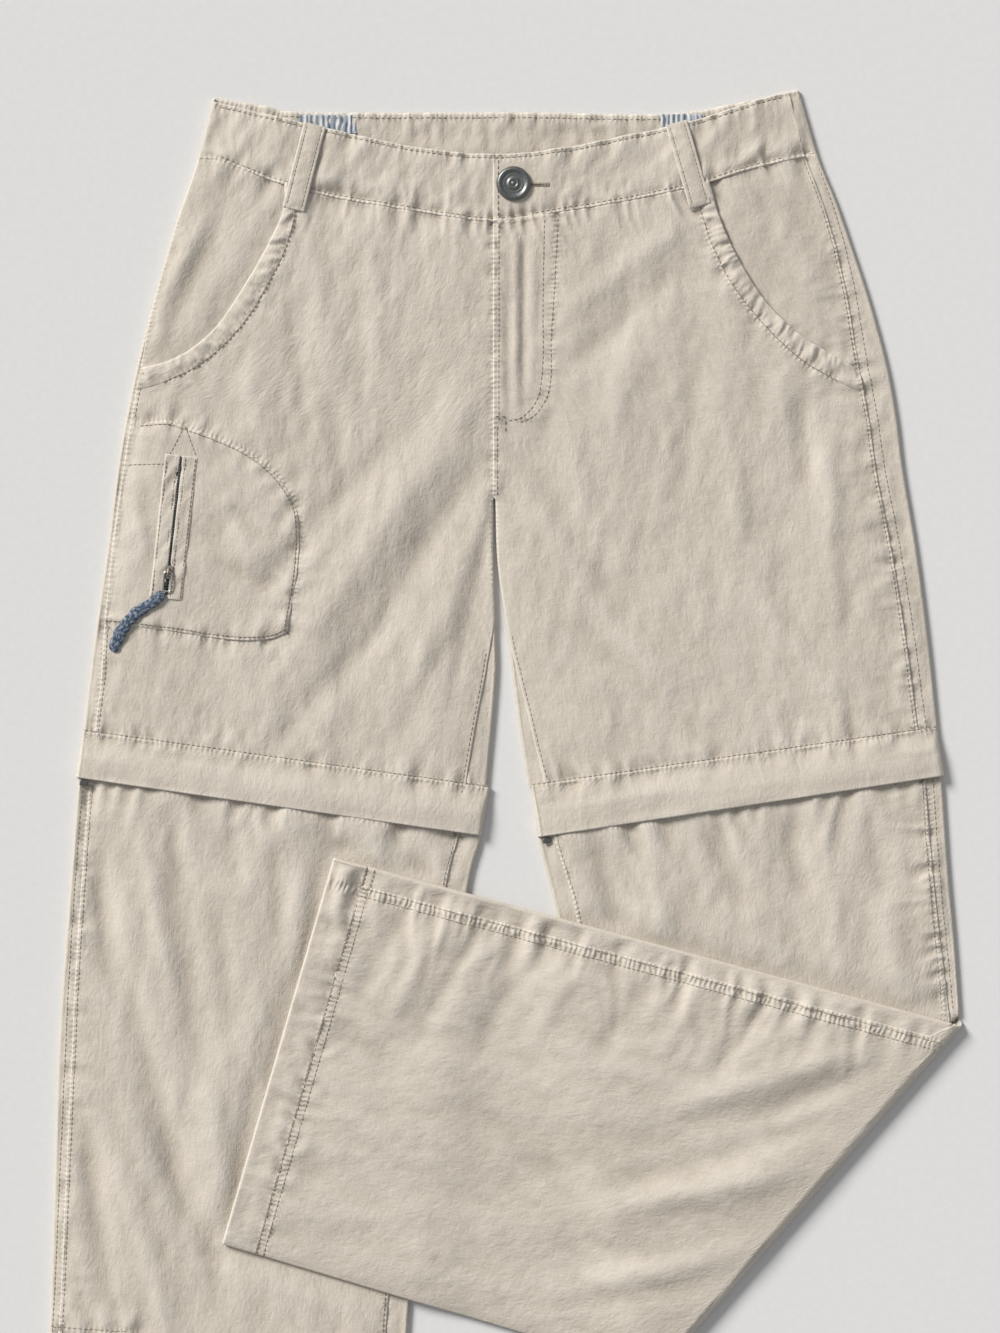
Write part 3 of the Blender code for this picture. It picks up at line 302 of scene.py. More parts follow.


# %% Finer creases, listed from the waist down
SHORT_CREASES = [
    ((-12, 318), (-128, 146), 12, 0.85), ((-12, 276), (-92, 138), 9, -0.75),
    ((-8, 246), (-56, 122), 8, 0.45), ((-4, 236), (-30, 120), 5, -0.4), ((-50, 300), (-146, 190), 9, -0.45),
    ((-90, 250), (-160, 150), 8, 0.35), ((-78, 170), (-140, 96), 7, -0.4),
    ((-30, 170), (-64, 100), 7, -0.4), ((-100, 330), (-92, 250), 8, -0.4),
    ((-112, 418), (-96, 300), 7, 0.35), ((-126, 372), (-112, 290), 6, -0.4),
    ((-84, 400), (-78, 300), 6, -0.35), ((-60, 410), (-48, 330), 9, 0.35),
    ((-150, 330), (-138, 285), 7, 0.4), ((-196, 390), (-206, 340), 6, 0.4),
    ((-170, 425), (-196, 380), 6, 0.5), ((12, 288), (80, 170), 8, -0.5), ((16, 262), (110, 122), 9, 0.5),
    ((44, 180), (140, 96), 8, -0.5), ((112, 418), (40, 362), 8, 0.55), ((116, 396), (44, 330), 8, -0.5),
    ((88, 350), (60, 280), 9, 0.4), ((120, 350), (112, 250), 8, -0.5), ((136, 330), (146, 230), 8, 0.45),
    ((183, 312), (188, 252), 8, -0.8), ((196, 285), (206, 200), 8, 0.6), ((206, 240), (214, 170), 7, -0.5),
    ((165, 250), (180, 160), 9, -0.4), ((150, 200), (215, 120), 8, 0.5), ((17, 418), (16, 307), 2.4, -0.45),
    ((11.5, 416), (12, 312), 2.6, 0.25), ((7, 366), (6.5, 312), 2.2, -0.25),
    ((23, 405), (22, 320), 2.6, 0.2), ((-212, 262), (-204, 205), 6, -0.5),
    ((-165, 262), (-140, 205), 8, 0.5), ((-170, 215), (-128, 196), 5, -0.4),
    ((-160, 248), (-134, 224), 5, -0.4), ((-214, 240), (-207, 216), 4, 0.4)]
LOWER_CREASES = [
    ((-241, 35), (-226, -49), 7, -0.7), ((-223, -25), (-184, -187), 8, -0.7),
    ((-169, 11), (-157, -73), 7, -0.5), ((-247, -121), (-232, -229), 7, -0.6),
    ((-196, 66), (-188, 16), 6, -0.5), ((-150, -90), (-134, -180), 8, -0.5),
    ((-214, 60), (-196, -40), 8, 0.7), ((-196, 40), (-176, -90), 9, -0.8),
    ((-176, -90), (-150, -200), 9, 0.7), ((-130, 45), (-128, -20), 8, -0.8),
    ((-120, 20), (-112, -80), 9, 0.6), ((-90, 50), (-104, 12), 7, -0.7), ((-70, 40), (-60, -10), 7, 0.5),
    ((-236, 60), (-236, -40), 6, -0.5), ((-203, -124), (-160, -225), 9, -0.8),
    ((-225, -150), (-196, -245), 8, 0.6), ((-160, 60), (-156, 20), 6, -0.5), ((-40, 40), (-46, 0), 7, -0.5),
    ((60, 48), (76, -10), 8, -0.6), ((90, 40), (106, -30), 8, 0.5), ((128, 60), (150, 4), 8, -0.7),
    ((176, 60), (186, 10), 8, -0.7), ((200, 60), (206, -40), 9, 0.6), ((226, 60), (232, 10), 7, -0.5),
    ((232, 20), (244, -50), 8, 0.5), ((146, 10), (176, -40), 9, 0.5)]
TURNED_CREASES = [
    ((214, -80), (110, -112), 9, 0.8), ((214, -118), (60, -162), 8, -0.7),
    ((196, -150), (70, -172), 8, 0.7), ((170, -196), (60, -216), 8, 0.6),
    ((150, -216), (40, -232), 8, -0.6), ((-52, 10), (-84, -50), 7, -0.6), ((-30, 2), (-64, -62), 7, 0.6),
    ((-10, -4), (-46, -70), 6, -0.5), ((20, -12), (-10, -80), 8, -0.5), ((46, -22), (24, -70), 7, 0.5),
    ((90, -36), (60, -84), 7, -0.5), ((120, -44), (100, -80), 6, 0.4), ((160, -56), (128, -92), 7, -0.5),
    ((-96, -60), (-60, -90), 7, -0.5), ((-104, -110), (-60, -130), 7, 0.4),
    ((-120, -150), (-60, -172), 8, -0.5), ((0, -120), (60, -180), 9, -0.4),
    ((240, -84), (150, -122), 7, -0.5)]

# %% Gathers along the stitched lines


CREASE_DEPTH = 3.0    # strength of the hand-placed creases
GATHER_DEPTH = 2.5    # strength of the gathers at stitched lines
# The crumple of washed cotton, coarse to fine: height, width, length, and turn from the grain in degrees
CRUMPLE = [(0.9, 24, 75, 0), (0.5, 12, 32, 12), (0.4, 6.5, 15, -14), (0.2, 3.2, 6, 20)]


def height_map(edges, big_folds, creases, drawn, grain, seed):
    """Function that gives the height of an upper layer over plan points: rolled edges and puff, the
    largest folds, the finer creases, the gathers of its stitched lines, and the crumple of washed cotton
    along the grain."""
    def height(xy):
        """Edge roll, rise with large folds, and small relief, as three heights to be added."""
        xy = np.asarray(xy, float)
        d = distance(xy, edges)
        z = rise_from(d) + folds(xy, big_folds) * smooth(d / 18)
        small = CREASE_DEPTH * folds(xy, creases)
        for line, reach, size, depth, number in drawn:
            small += GATHER_DEPTH * gathers(xy, line, reach, size, depth, seed + number)
        for k, (size, width, length, turn) in enumerate(CRUMPLE):
            small += size * creased(xy, width, length, grain + turn, seed + k)
        small *= 0.3 + 0.7 * smooth((distance(xy, ZIP_LINE) - 4) / 16)
        return roll(d), z, small * smooth(d / 7)
    return height


def side_seam(outline, table, sign, y):
    """Plan points of a side seam at heights y: the outline moved in by its inset."""
    return np.stack([x_on(outline, y) + sign * inset_at(table, y), y], -1)


WAIST_SEAM = spline(BAND_LOW_FRONT, 4)
KNEE_Y = np.linspace(420, 60, 30)
LEG_Y = np.linspace(86, -490, 30)
SHORT_DRAWN = [
    (WAIST_SEAM, 15, 6.5, 0.75, 10), (spline(POCKET_STITCH["left"], 3), 9, 6, 0.45, 20),
    (spline(POCKET_STITCH["right"], 3), 9, 6, 0.45, 30),
    (side_seam(LEFT_OUTLINE, LEFT_SEAM, 1, KNEE_Y), 9, 8, 0.35, 40),
    (side_seam(RIGHT_OUTLINE, RIGHT_SEAM, -1, KNEE_Y), 12, 7, 0.5, 50),
    (spline(FLAP_TOP["left"]), 12, 7, 0.65, 60), (spline(FLAP_TOP["right"]), 12, 7, 0.65, 70),
    (np.array([(CENTRE_X, 420), (CENTRE_X, 251), (-1, 200)], float), 7, 8, 0.35, 80),
    (spline(FLY_OUTER, 3), 6, 6, 0.35, 90), (spline(CARGO_TOP + CARGO_FRONT[1:], 3), 9, 7, 0.55, 100),
    (spline(CARGO_FOOT, 3), 10, 7, 0.55, 110)]
LOWER_DRAWN = [
    (spline(FLAP_LOW["left"]), 26, 11, 1.0, 10), (spline(FLAP_LOW["right"]), 26, 11, 0.9, 20),
    (side_seam(LEFT_OUTLINE, LEFT_SEAM, 1, LEG_Y), 10, 8, 0.45, 30),
    (side_seam(LEFT_INNER, LEFT_INSEAM, -1, LEG_Y), 9, 8, 0.4, 40),
    (side_seam(RIGHT_OUTLINE, RIGHT_SEAM, -1, LEG_Y), 12, 7, 0.6, 50),
    (side_seam(RIGHT_INNER, RIGHT_INSEAM, 1, LEG_Y), 9, 8, 0.4, 60),
    (np.array([(-270, -245), (-215, -248)], float), 12, 7, 0.8, 70),
    (np.array([(-280, LEFT_HEM_Y + HEM_HEIGHT), (-55, LEFT_HEM_Y + HEM_HEIGHT)], float), 12, 7, 0.6, 80)]


def turned_line(inset):
    """Plan line parallel to the folded leg's upper edge, from the hem end to the fold."""
    a, b = np.array(CORNER_A, float), np.array(CORNER_B, float)
    run = unit(b - a)
    down = np.array([run[1], -run[0]])
    return np.stack([a, b]) + down * inset


def hem_line(inset):
    """Plan line parallel to the folded leg's hem edge."""
    a, d = np.array(CORNER_A, float), np.array(CORNER_D, float)
    run = unit(d - a)
    return np.stack([a, d]) + np.array([-run[1], run[0]]) * inset


TURNED_DRAWN = [
    (turned_line(FELLED_INSET + 3), 26, 8.5, 0.85, 10), (turned_line(FELLED_INSET + 3), 4.5, 3.2, 0.55, 50),
    (hem_line(23), 12, 7.5, 0.6, 20), (hem_line(23), 4.5, 3.4, 0.4, 60), (hem_line(6), 9, 10, 0.25, 30)]
shorts_height = height_map(SIDE_EDGES, SHORT_FOLDS, SHORT_CREASES, SHORT_DRAWN, 94, 100)
lower_height = height_map(SIDE_EDGES, SHORT_FOLDS, LOWER_CREASES, LOWER_DRAWN, 96, 400)
turned_height = height_map(TURNED_EDGES, TURNED_FOLDS, TURNED_CREASES, TURNED_DRAWN, 164, 700)


def fly_lift(xy):
    """Rise of the fly's overlap above the panel under it, from its edge at the centre to its stitches."""
    inside = smooth((xy[..., 1] - FLY_FOOT_Y + 2) / 5) * smooth((42 - xy[..., 0]) / 30)
    lapped = smooth((xy[..., 1] - CROTCH_Y) / 6) * smooth((9 - xy[..., 0]) / 9)
    return 0.9 * inside + 0.6 * lapped


def on_shorts(xy, lift=0.0):
    """Height of the shorts' upper layer, with its creases."""
    edge, rise, small = shorts_height(xy)
    return edge + rise + small + lift


def on_lower(xy, lift=0.0):
    """Height of a lower leg's upper layer, pressed flat under the folded part."""
    edge, rise, small = lower_height(xy)
    away = beyond_fold(np.asarray(xy, float))
    return edge + rise * smooth(away / 18) + small * smooth(away / 8) + lift


def on_turned(xy, lift=0.0):
    """Height of the folded leg's upper layer, flattened towards the fold."""
    edge, rise, small = turned_height(xy)
    ease = smooth(distance(np.asarray(xy, float), FOLD_LINE) / 40)
    return fold_base(xy) + edge + rise * ease + small * (0.25 + 0.75 * ease) + lift


print("gathered lines:", len(SHORT_DRAWN) + len(LOWER_DRAWN) + len(TURNED_DRAWN))

# %% [markdown]
# ## Cloth finish
# The real cloth is a thin washed cotton. Close to, it shows uneven threads both ways, a fine crackle from
# washing, and slightly paler ridges where it wears. One node group makes all of that from the piece's own UV
# map, which is in metres along the cloth, so the threads follow every panel. The same group paints shade into
# the colour: the hollows between creases and the dips of the small puckers at stitched lines are darker, and
# the pucker crests are paler as a painted highlight. Each material places the group with its own colours.

# %% Node helpers and the washed cloth group


def add_node(tree, kind, inputs=None, **settings):
    """A shader node with its settings and unlinked input values."""
    made = tree.nodes.new(kind)
    for key, value in settings.items():
        setattr(made, key, value)
    for key, value in (inputs or {}).items():
        made.inputs[key].default_value = value
    return made


def new_material(name):
    """A material with its node tree and its Principled shader."""
    mat = bpy.data.materials.new(name)
    mat.use_nodes = True
    return mat, mat.node_tree, mat.node_tree.nodes["Principled BSDF"]


def math_node(tree, operation, first, second):
    """A Math node on two sockets or numbers."""
    made = tree.nodes.new("ShaderNodeMath")
    made.operation = operation
    for socket, value in zip(made.inputs, (first, second)):
        if isinstance(value, (int, float)):
            socket.default_value = value
        else:
            tree.links.new(value, socket)
    return made.outputs[0]


def mix_colour(tree, factor, first, second):
    """A colour Mix node: factor is a socket, the colours are sockets or values."""
    made = tree.nodes.new("ShaderNodeMix")
    made.data_type = "RGBA"
    tree.links.new(factor, made.inputs[0])
    for socket, value in ((made.inputs[6], first), (made.inputs[7], second)):
        if isinstance(value, tuple):
            socket.default_value = value
        else:
            tree.links.new(value, socket)
    return made.outputs[2]


def stretched_noise(tree, place, scale, detail=2.0):
    """Noise on the cloth's UV map, stretched by a scale for each direction, in repeats per metre."""
    turn = add_node(tree, "ShaderNodeMapping", {"Scale": scale})
    tree.links.new(place, turn.inputs["Vector"])
    made = add_node(tree, "ShaderNodeTexNoise", {"Scale": 1.0, "Detail": detail, "Roughness": 0.55})
    tree.links.new(turn.outputs[0], made.inputs["Vector"])
    return made.outputs["Fac"]


PUCKER_PITCH = 0.0031   # metres from one small pucker to the next along a stitched line


def added(tree, *parts):
    """The sum of several sockets or numbers."""
    total = parts[0]
    for part in parts[1:]:
        total = math_node(tree, "ADD", total, part)
    return total


def scaled(tree, socket, factor):
    """A socket times a socket or a number."""
    return math_node(tree, "MULTIPLY", socket, factor)


def bump_into(tree, shader, height, strength, depth):
    """Bump on a shader's normal, from a height socket."""
    ripple = add_node(tree, "ShaderNodeBump", {"Strength": strength, "Distance": depth})
    tree.links.new(height, ripple.inputs["Height"])
    tree.links.new(ripple.outputs[0], shader.inputs["Normal"])


def washed_cloth_group():
    """Colour and height of washed cotton: threads across and along, crackle, blotches, wear on edges and
    ridges, painted shade in the hollows and in the dips of the small puckers, and a painted highlight on the
    pucker crests.
    """
    group = bpy.data.node_groups.new("washed_cloth", "ShaderNodeTree")
    for side, kind, names in (("INPUT", "NodeSocketColor", ("Cloth", "Pale", "Deep")),
                              ("INPUT", "NodeSocketFloat", ("Relief", "Edge", "Near", "Run")),
                              ("OUTPUT", "NodeSocketColor", ("Colour",)),
                              ("OUTPUT", "NodeSocketFloat", ("Height", "Roughness"))):
        for name in names:
            group.interface.new_socket(name, in_out=side, socket_type=kind)
    inside = group.nodes.new("NodeGroupInput")
    out = group.nodes.new("NodeGroupOutput")
    place = group.nodes.new("ShaderNodeUVMap").outputs[0]
    across = stretched_noise(group, place, (1500, 150, 1))
    along_grain = stretched_noise(group, place, (170, 1500, 1))
    crackle = stretched_noise(group, place, (210, 120, 1), 4.0)
    slub = stretched_noise(group, place, (420, 26, 1), 2.0)
    blotch = stretched_noise(group, place, (16, 9, 1), 3.0)
    ridge = math_node(group, "ABSOLUTE", math_node(group, "SUBTRACT", crackle, 0.5), 0.0)
    weave = added(group, across, along_grain)
    flutter = stretched_noise(group, place, (90, 90, 1), 1.0)
    phase = added(group, scaled(group, inside.outputs["Run"], 2 * math.pi / PUCKER_PITCH),
                  scaled(group, flutter, 11.0))
    pucker = scaled(group, math_node(group, "SINE", phase, 0.0), inside.outputs["Near"])
    height = added(group, scaled(group, weave, 0.12), scaled(group, ridge, -1.7), scaled(group, slub, 0.1),
                   scaled(group, pucker, 0.42))
    # Tone shift: positive goes towards the pale colour, negative towards the deep colour. Threads, blotches
    # and slubs are the cloth's own tone, and the Edge input is the wear along turned edges. The relief adds
    # painted shade in the hollows and paler ridges for wear. The puckers add painted shade in their dips and
    # a painted highlight on their crests.
    pale_tone = added(group, scaled(group, inside.outputs["Relief"], 0.3),
                 scaled(group, math_node(group, "SUBTRACT", weave, 1.0), 0.7), inside.outputs["Edge"],
                 scaled(group, pucker, 0.22), scaled(group, math_node(group, "SUBTRACT", blotch, 0.5), 0.7),
                 scaled(group, math_node(group, "SUBTRACT", slub, 0.5), 0.3))
    up = math_node(group, "MAXIMUM", pale_tone, 0.0)
    down = math_node(group, "MAXIMUM", scaled(group, pale_tone, -1.0), 0.0)
    colour = mix_colour(group, up, inside.outputs["Cloth"], inside.outputs["Pale"])
    colour = mix_colour(group, down, colour, inside.outputs["Deep"])
    rough = added(group, scaled(group, ridge, 0.3), 0.78)
    group.links.new(colour, out.inputs["Colour"])
    group.links.new(height, out.inputs["Height"])
    group.links.new(rough, out.inputs["Roughness"])
    return group


WASHED = washed_cloth_group()


CLOTH_BUMP = 0.8
CLOTH_SHEEN = 0.12


def cloth_material(name, cloth, pale_tone, deep):
    """A cloth's Principled material with the washed group in front of it."""
    mat, tree, shader = new_material(name)
    shader.inputs["Sheen Weight"].default_value = CLOTH_SHEEN
    shader.inputs["Specular IOR Level"].default_value = 0.25
    group = add_node(tree, "ShaderNodeGroup", node_tree=WASHED)
    group.inputs["Cloth"].default_value = (*cloth, 1)
    group.inputs["Pale"].default_value = (*pale_tone, 1)
    group.inputs["Deep"].default_value = (*deep, 1)
    for key, socket in (("relief", "Relief"), ("edge_wear", "Edge"), ("seam_near", "Near"),
                        ("seam_run", "Run")):
        value = add_node(tree, "ShaderNodeAttribute", attribute_name=key)
        tree.links.new(value.outputs["Fac"], group.inputs[socket])
    bump_into(tree, shader, group.outputs["Height"], CLOTH_BUMP, 0.0007)
    tree.links.new(group.outputs["Colour"], shader.inputs["Base Color"])
    tree.links.new(group.outputs["Roughness"], shader.inputs["Roughness"])
    return mat


SAND = cloth_material("sand_cotton", (0.625, 0.562, 0.478), (0.750, 0.697, 0.622), (0.420, 0.362, 0.285))
# The pocket facing and the inside of the back band are the same sand cotton, coloured a little darker as
# painted shade.
SHADED_FACING = cloth_material("pocket_facing_shaded_cotton", (0.610, 0.548, 0.465), (0.738, 0.684, 0.608),
                        (0.410, 0.353, 0.277))
SHADED_INSIDE = cloth_material("band_inside_shaded_cotton", (0.605, 0.543, 0.461), (0.730, 0.676, 0.600),
                        (0.402, 0.346, 0.272))
print("cloth materials:", SAND.name, SHADED_FACING.name, SHADED_INSIDE.name)

# %% [markdown]
# ## From a grid of points to a piece of cloth
# Every panel is a grid: rows down the garment, columns across it. The grid becomes one mesh at once. It
# gets a UV map in metres along its own threads, a value for where it stands above or below its
# surroundings, and how near its stitched lines are. A Solidify modifier gives it the cloth's thickness.

# %% Grid tools


def add_object(name, data):
    """A new object at the origin, in the scene."""
    made = bpy.data.objects.new(name, data)
    bpy.context.scene.collection.objects.link(made)
    return made


def lay(xy, z):
    """Plan points and heights as one grid of points."""
    return np.concatenate([xy, np.broadcast_to(z, xy.shape[:-1])[..., None]], -1)


def shares_of(points):
    """Fractions of the length along a row of points, or even ones where the row has no length."""
    run = run_of(points)
    return run / run[-1] if run[-1] > 1e-6 else np.linspace(0, 1, len(points))


EDGE_PLACES = np.array([0, 0.3, 0.7, 1.2, 2.0, 3.0, 4.2, 5.5, 7.0])


def shares_across(width, step=STEP):
    """Places from 0 to 1 across a panel: close together near its turned edges, even between them."""
    count = max(int((width - 2 * EDGE_PLACES[-1]) / step), 2)
    middle = np.linspace(EDGE_PLACES[-1], width - EDGE_PLACES[-1], count)
    return np.concatenate([EDGE_PLACES, middle[1:-1], width - EDGE_PLACES[::-1]]) / width


def patch(upper, lower, left, right):
    """Coons patch in plan: the blend of four rows of boundary points, which it keeps as they are."""
    t = ((shares_of(left) + shares_of(right)) / 2)[:, None, None]
    s = ((shares_of(upper) + shares_of(lower)) / 2)[None, :, None]
    corners = (1 - t) * ((1 - s) * upper[0] + s * upper[-1]) + t * ((1 - s) * lower[0] + s * lower[-1])
    return (1 - t) * upper[None] + t * lower[None] + (1 - s) * left[:, None] + s * right[:, None] - corners


def edge_distance(plan, sides):
    """Distance of each grid point from the nearest of the named sides of its grid."""
    first = {"upper": plan[:1], "lower": plan[-1:], "left": plan[:, :1], "right": plan[:, -1:]}
    away = [np.linalg.norm(plan - first[side], axis=-1) for side in sides]
    return np.min(away, axis=0) if away else np.full(plan.shape[:2], 99.0)


def edge_fall(away, radius):
    """Fall of a turned edge: a quarter circle within one radius of it."""
    inside = radius - np.clip(away, 0, radius)
    return radius - np.sqrt(np.maximum(radius ** 2 - inside ** 2, 0))


def blurred(z, reach):
    """Running mean of a grid along both directions."""
    for axis in (0, 1):
        if z.shape[axis] > 2 * reach + 1:
            pad = [(reach, reach) if k == axis else (0, 0) for k in (0, 1)]
            total = np.cumsum(np.pad(z, pad, mode="edge"), axis=axis)
            total = np.concatenate([np.zeros_like(np.take(total, [0], axis)), total], axis)
            width = 2 * reach + 1
            high = np.take(total, range(width, total.shape[axis]), axis)
            low = np.take(total, range(total.shape[axis] - width), axis)
            z = (high - low) / width
    return z


SEAM_REACH = 2.3      # how far the small puckers reach on each side of a stitched line
SEAM_REACH_WIDE = 3.4 # and on the folded leg, where they reach furthest
RELIEF_REACH = 4      # mesh lines on each side over which a place's surroundings are averaged
RELIEF_HEIGHT = 0.8   # a place this far above its surroundings counts as fully raised


def seams_of(drawn):
    """The stitched lines of a table of gathers."""
    return [row[0] for row in drawn]


def seam_values(plan, seams, reach):
    """How near each point is to a stitched line, from 1 on it to 0, and how far along that line it is."""
    near, run = np.full(plan.shape[:2], 99.0), np.zeros(plan.shape[:2])
    for line in seams:
        d, s = nearest(plan, line)
        run = np.where(d < near, s, run)
        near = np.minimum(d, near)
    return np.exp(-(near / reach) ** 2) * reach / SEAM_REACH_WIDE, run * MM


def steps_of(grid):
    """Lengths of a grid's steps from row to row and from column to column."""
    return [np.linalg.norm(np.diff(grid, axis=k), axis=-1) for k in (0, 1)]


def grid_mesh(name, grid, closed, flip, wear=0.0, seams=(), reach=SEAM_REACH):
    """Mesh of a grid in millimetres, with its UV map in metres of cloth, its relief, its edge wear and its
    places near stitched lines."""
    rows, cols = grid.shape[:2]
    index = np.arange(rows * cols).reshape(rows, cols)
    down, across = steps_of(grid)
    run_down = np.concatenate([np.zeros((1, cols)), np.cumsum(down, 0)])
    run_across = np.concatenate([np.zeros((rows, 1)), np.cumsum(across, 1)], axis=1)
    middle = cols // 2
    u = run_across - run_across[:, middle:middle + 1] + grid[0, middle, 0]
    v = run_down[:, middle:middle + 1] * np.ones((1, cols))
    if closed:
        index = np.hstack([index, index[:, :1]])
    quads = np.stack([index[:-1, :-1], index[1:, :-1], index[1:, 1:], index[:-1, 1:]], -1).reshape(-1, 4)
    if flip:
        quads = quads[:, ::-1]
    mesh = bpy.data.meshes.new(name)
    mesh.from_pydata((grid.reshape(-1, 3) * MM).tolist(), [], quads.tolist())
    layer = mesh.uv_layers.new(name="cloth")
    uv = np.stack([u, v], -1).reshape(-1, 2) * MM
    layer.data.foreach_set("uv", uv[quads.reshape(-1)].reshape(-1).astype(np.float32))
    z = grid[..., 2]
    # Height above the surroundings: the cloth material darkens the hollows with it as painted shade and makes
    # the ridges paler for wear.
    relief = np.clip((z - blurred(z, RELIEF_REACH)) / RELIEF_HEIGHT, -1, 1)
    near, run = seam_values(grid[..., :2], seams, reach)
    for key, values in (("relief", relief), ("edge_wear", wear + np.zeros(z.shape)), ("seam_near", near),
                        ("seam_run", run)):
        made = mesh.attributes.new(key, "FLOAT", "POINT")
        made.data.foreach_set("value", values.reshape(-1).astype(np.float32))
    mesh.shade_smooth()
    return mesh


MADE = []
EDGE_WEAR = 1.5       # width of the paler line along a turned edge
EDGE_PALER = 0.75     # how much paler it is


def cloth_piece(name, grid, nodes, look=SAND, closed=False, flip=False,
                wall=WALL, sides=(), radius=0.7, seams=(), reach=SEAM_REACH):
    """A sheet of cloth made from a grid of points on its outer face, in millimetres. Its named sides are
    turned edges: they round off within a radius, and wear makes them paler."""
    away = edge_distance(grid[..., :2], sides)
    grid = lay(grid[..., :2], grid[..., 2] - edge_fall(away, radius))
    wear = EDGE_PALER * (1 - smooth(away / EDGE_WEAR))
    mesh = grid_mesh(f"{name}_cloth", grid, closed, flip, wear, seams, reach)
    piece = add_object(f"{name}_cloth", mesh)
    mesh.materials.append(look)
    shell = piece.modifiers.new("thickness", "SOLIDIFY")
    shell.thickness = wall * MM
    shell.offset = -1
    if nodes:
        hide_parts(*nodes)
    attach(piece, "garment")
    MADE.append((name, len(mesh.polygons)))


# %% [markdown]
# ## Side seams
# The back panels wrap round the sides to a seam that lies a little inside the outline, on top. A point
# of the back panel is found by how far it has turned round the edge, and the front panel's turned
# edge laps over it.

# %% Wrapped edges
ROUND = np.linspace(0, 1, 9)
OVER = np.linspace(0, 1, 12)
EDGE_COLUMNS = len(ROUND) + len(OVER) - 1


def turn_of(inset):
    """Distance round a rolled edge, from its outermost line to a seam that shows this far inside it."""
    turned = EDGE_R * np.arccos(np.clip(1 - inset / EDGE_R, -1, 1))
    return np.where(inset >= EDGE_R, QUARTER + inset - EDGE_R, turned)


def edge_grid(turn):
    """Inset and height of places round a rolled edge for each row, and which of them lie on top."""
    least = np.minimum(turn, QUARTER)
    low = -QUARTER + (least + QUARTER)[:, None] * ROUND
    high = least[:, None] + np.maximum(turn - least, 0.15)[:, None] * OVER[1:]
    turns = np.hstack([low, high])
    angle = np.clip(turns, -QUARTER, QUARTER) / EDGE_R
    inset = EDGE_R * (1 - np.cos(angle)) + np.maximum(np.abs(turns) - QUARTER, 0)
    return inset, EDGE_R * (1 + np.sin(angle)), turns > QUARTER


def wrapped(left, right, turn_left, turn_right, middle, height):
    """Grid of a back panel, row by row: from the seam on top round the left edge, along the underside and
    round the right edge to its seam. A turn of None ends the cloth flat, at a centre seam or a fold."""
    width = np.linalg.norm(right - left, axis=1)[:, None]
    places, heights, tops = [], [], []
    for turn, mirrored in ((turn_left, False), (turn_right, True)):
        if turn is None:
            inset = np.broadcast_to(np.linspace(5 * EDGE_R, 0.2, EDGE_COLUMNS), (len(left), EDGE_COLUMNS))
            z, over = np.zeros(inset.shape), np.zeros(inset.shape, bool)
        else:
            inset, z, over = edge_grid(turn)
        places.append(width - inset if mirrored else inset[:, ::-1])
        heights.append(z if mirrored else z[:, ::-1])
        tops.append(over if mirrored else over[:, ::-1])
    share = np.linspace(0, 1, middle + 2)[1:-1]
    between = places[0][:, -1:] + (places[1][:, :1] - places[0][:, -1:]) * share
    a = np.hstack([places[0], between, places[1]])
    z = np.hstack([heights[0], np.zeros(between.shape), heights[1]])
    over = np.hstack([tops[0], np.zeros(between.shape, bool), tops[1]])
    xy = left[:, None] + ((right - left) / width)[:, None] * a[..., None]
    return lay(xy, np.where(over, height(xy, -0.3), z))


def seam_points(side, centre, seam, inseam, lap):
    """Where a front panel's two edges lie on each row, lapping the back panel by lap."""
    run = unit(centre - side)
    near = np.maximum(inset_at(seam, side[:, 1]) - lap, 0)
    far = np.maximum(inset_at(inseam, centre[:, 1]) - lap, 0)
    return side + run * near[:, None], centre - run * far[:, None]


# %% [markdown]
# ## Shorts part
# Each half has a front, a back, a hip pocket facing and the front's turned pocket edge. The right front
# carries the fly's overlap, so its centre edge stands above the left front.

# %% Fronts, backs and hip pockets


def band_low(x):
    """Lower edge of the front waistband at x."""
    return np.interp(x, WAIST_SEAM[:, 0], WAIST_SEAM[:, 1])


def short_ends(outline, inner, waist_y, knee_y, side_y):
    """Row ends of the shorts at the side and at the centre seam or, below the crotch, the inner edge."""
    centre_y = np.interp(-side_y, [-waist_y[0], -CROTCH_SIDE_Y, -knee_y[0]],
                         [waist_y[1], CROTCH_Y, knee_y[1]])
    centre_x = np.where(centre_y > CROTCH_Y + 1, CENTRE_X, x_on(inner, centre_y))
    return np.stack([x_on(outline, side_y), side_y], -1), np.stack([centre_x, centre_y], -1)


def short_back(half, side, centre, seam, inseam):
    """Back of one half of the shorts, flat at the centre seam and wrapped round the leg below the crotch."""
    turn_side = turn_of(inset_at(seam, side[:, 1]) + LAP)
    turn_inner = turn_of(inset_at(inseam, centre[:, 1]) + LAP)
    crotch_row = int(np.argmax(centre[:, 1] <= CROTCH_Y + 1))
    parts = []
    for rows, inner_turn in ((slice(0, crotch_row), None),
                             (slice(crotch_row, None), turn_inner[crotch_row:])):
        turns, ends = [turn_side[rows], inner_turn], [side[rows], centre[rows]]
        if half == "right":
            ends, turns = ends[::-1], turns[::-1]
        parts.append(wrapped(*ends, *turns, 14, on_shorts))
    cloth_piece(f"short_back_{half}", np.vstack(parts), [f"short_back_{half}"],
                flip=True, seams=seams_of(SHORT_DRAWN))


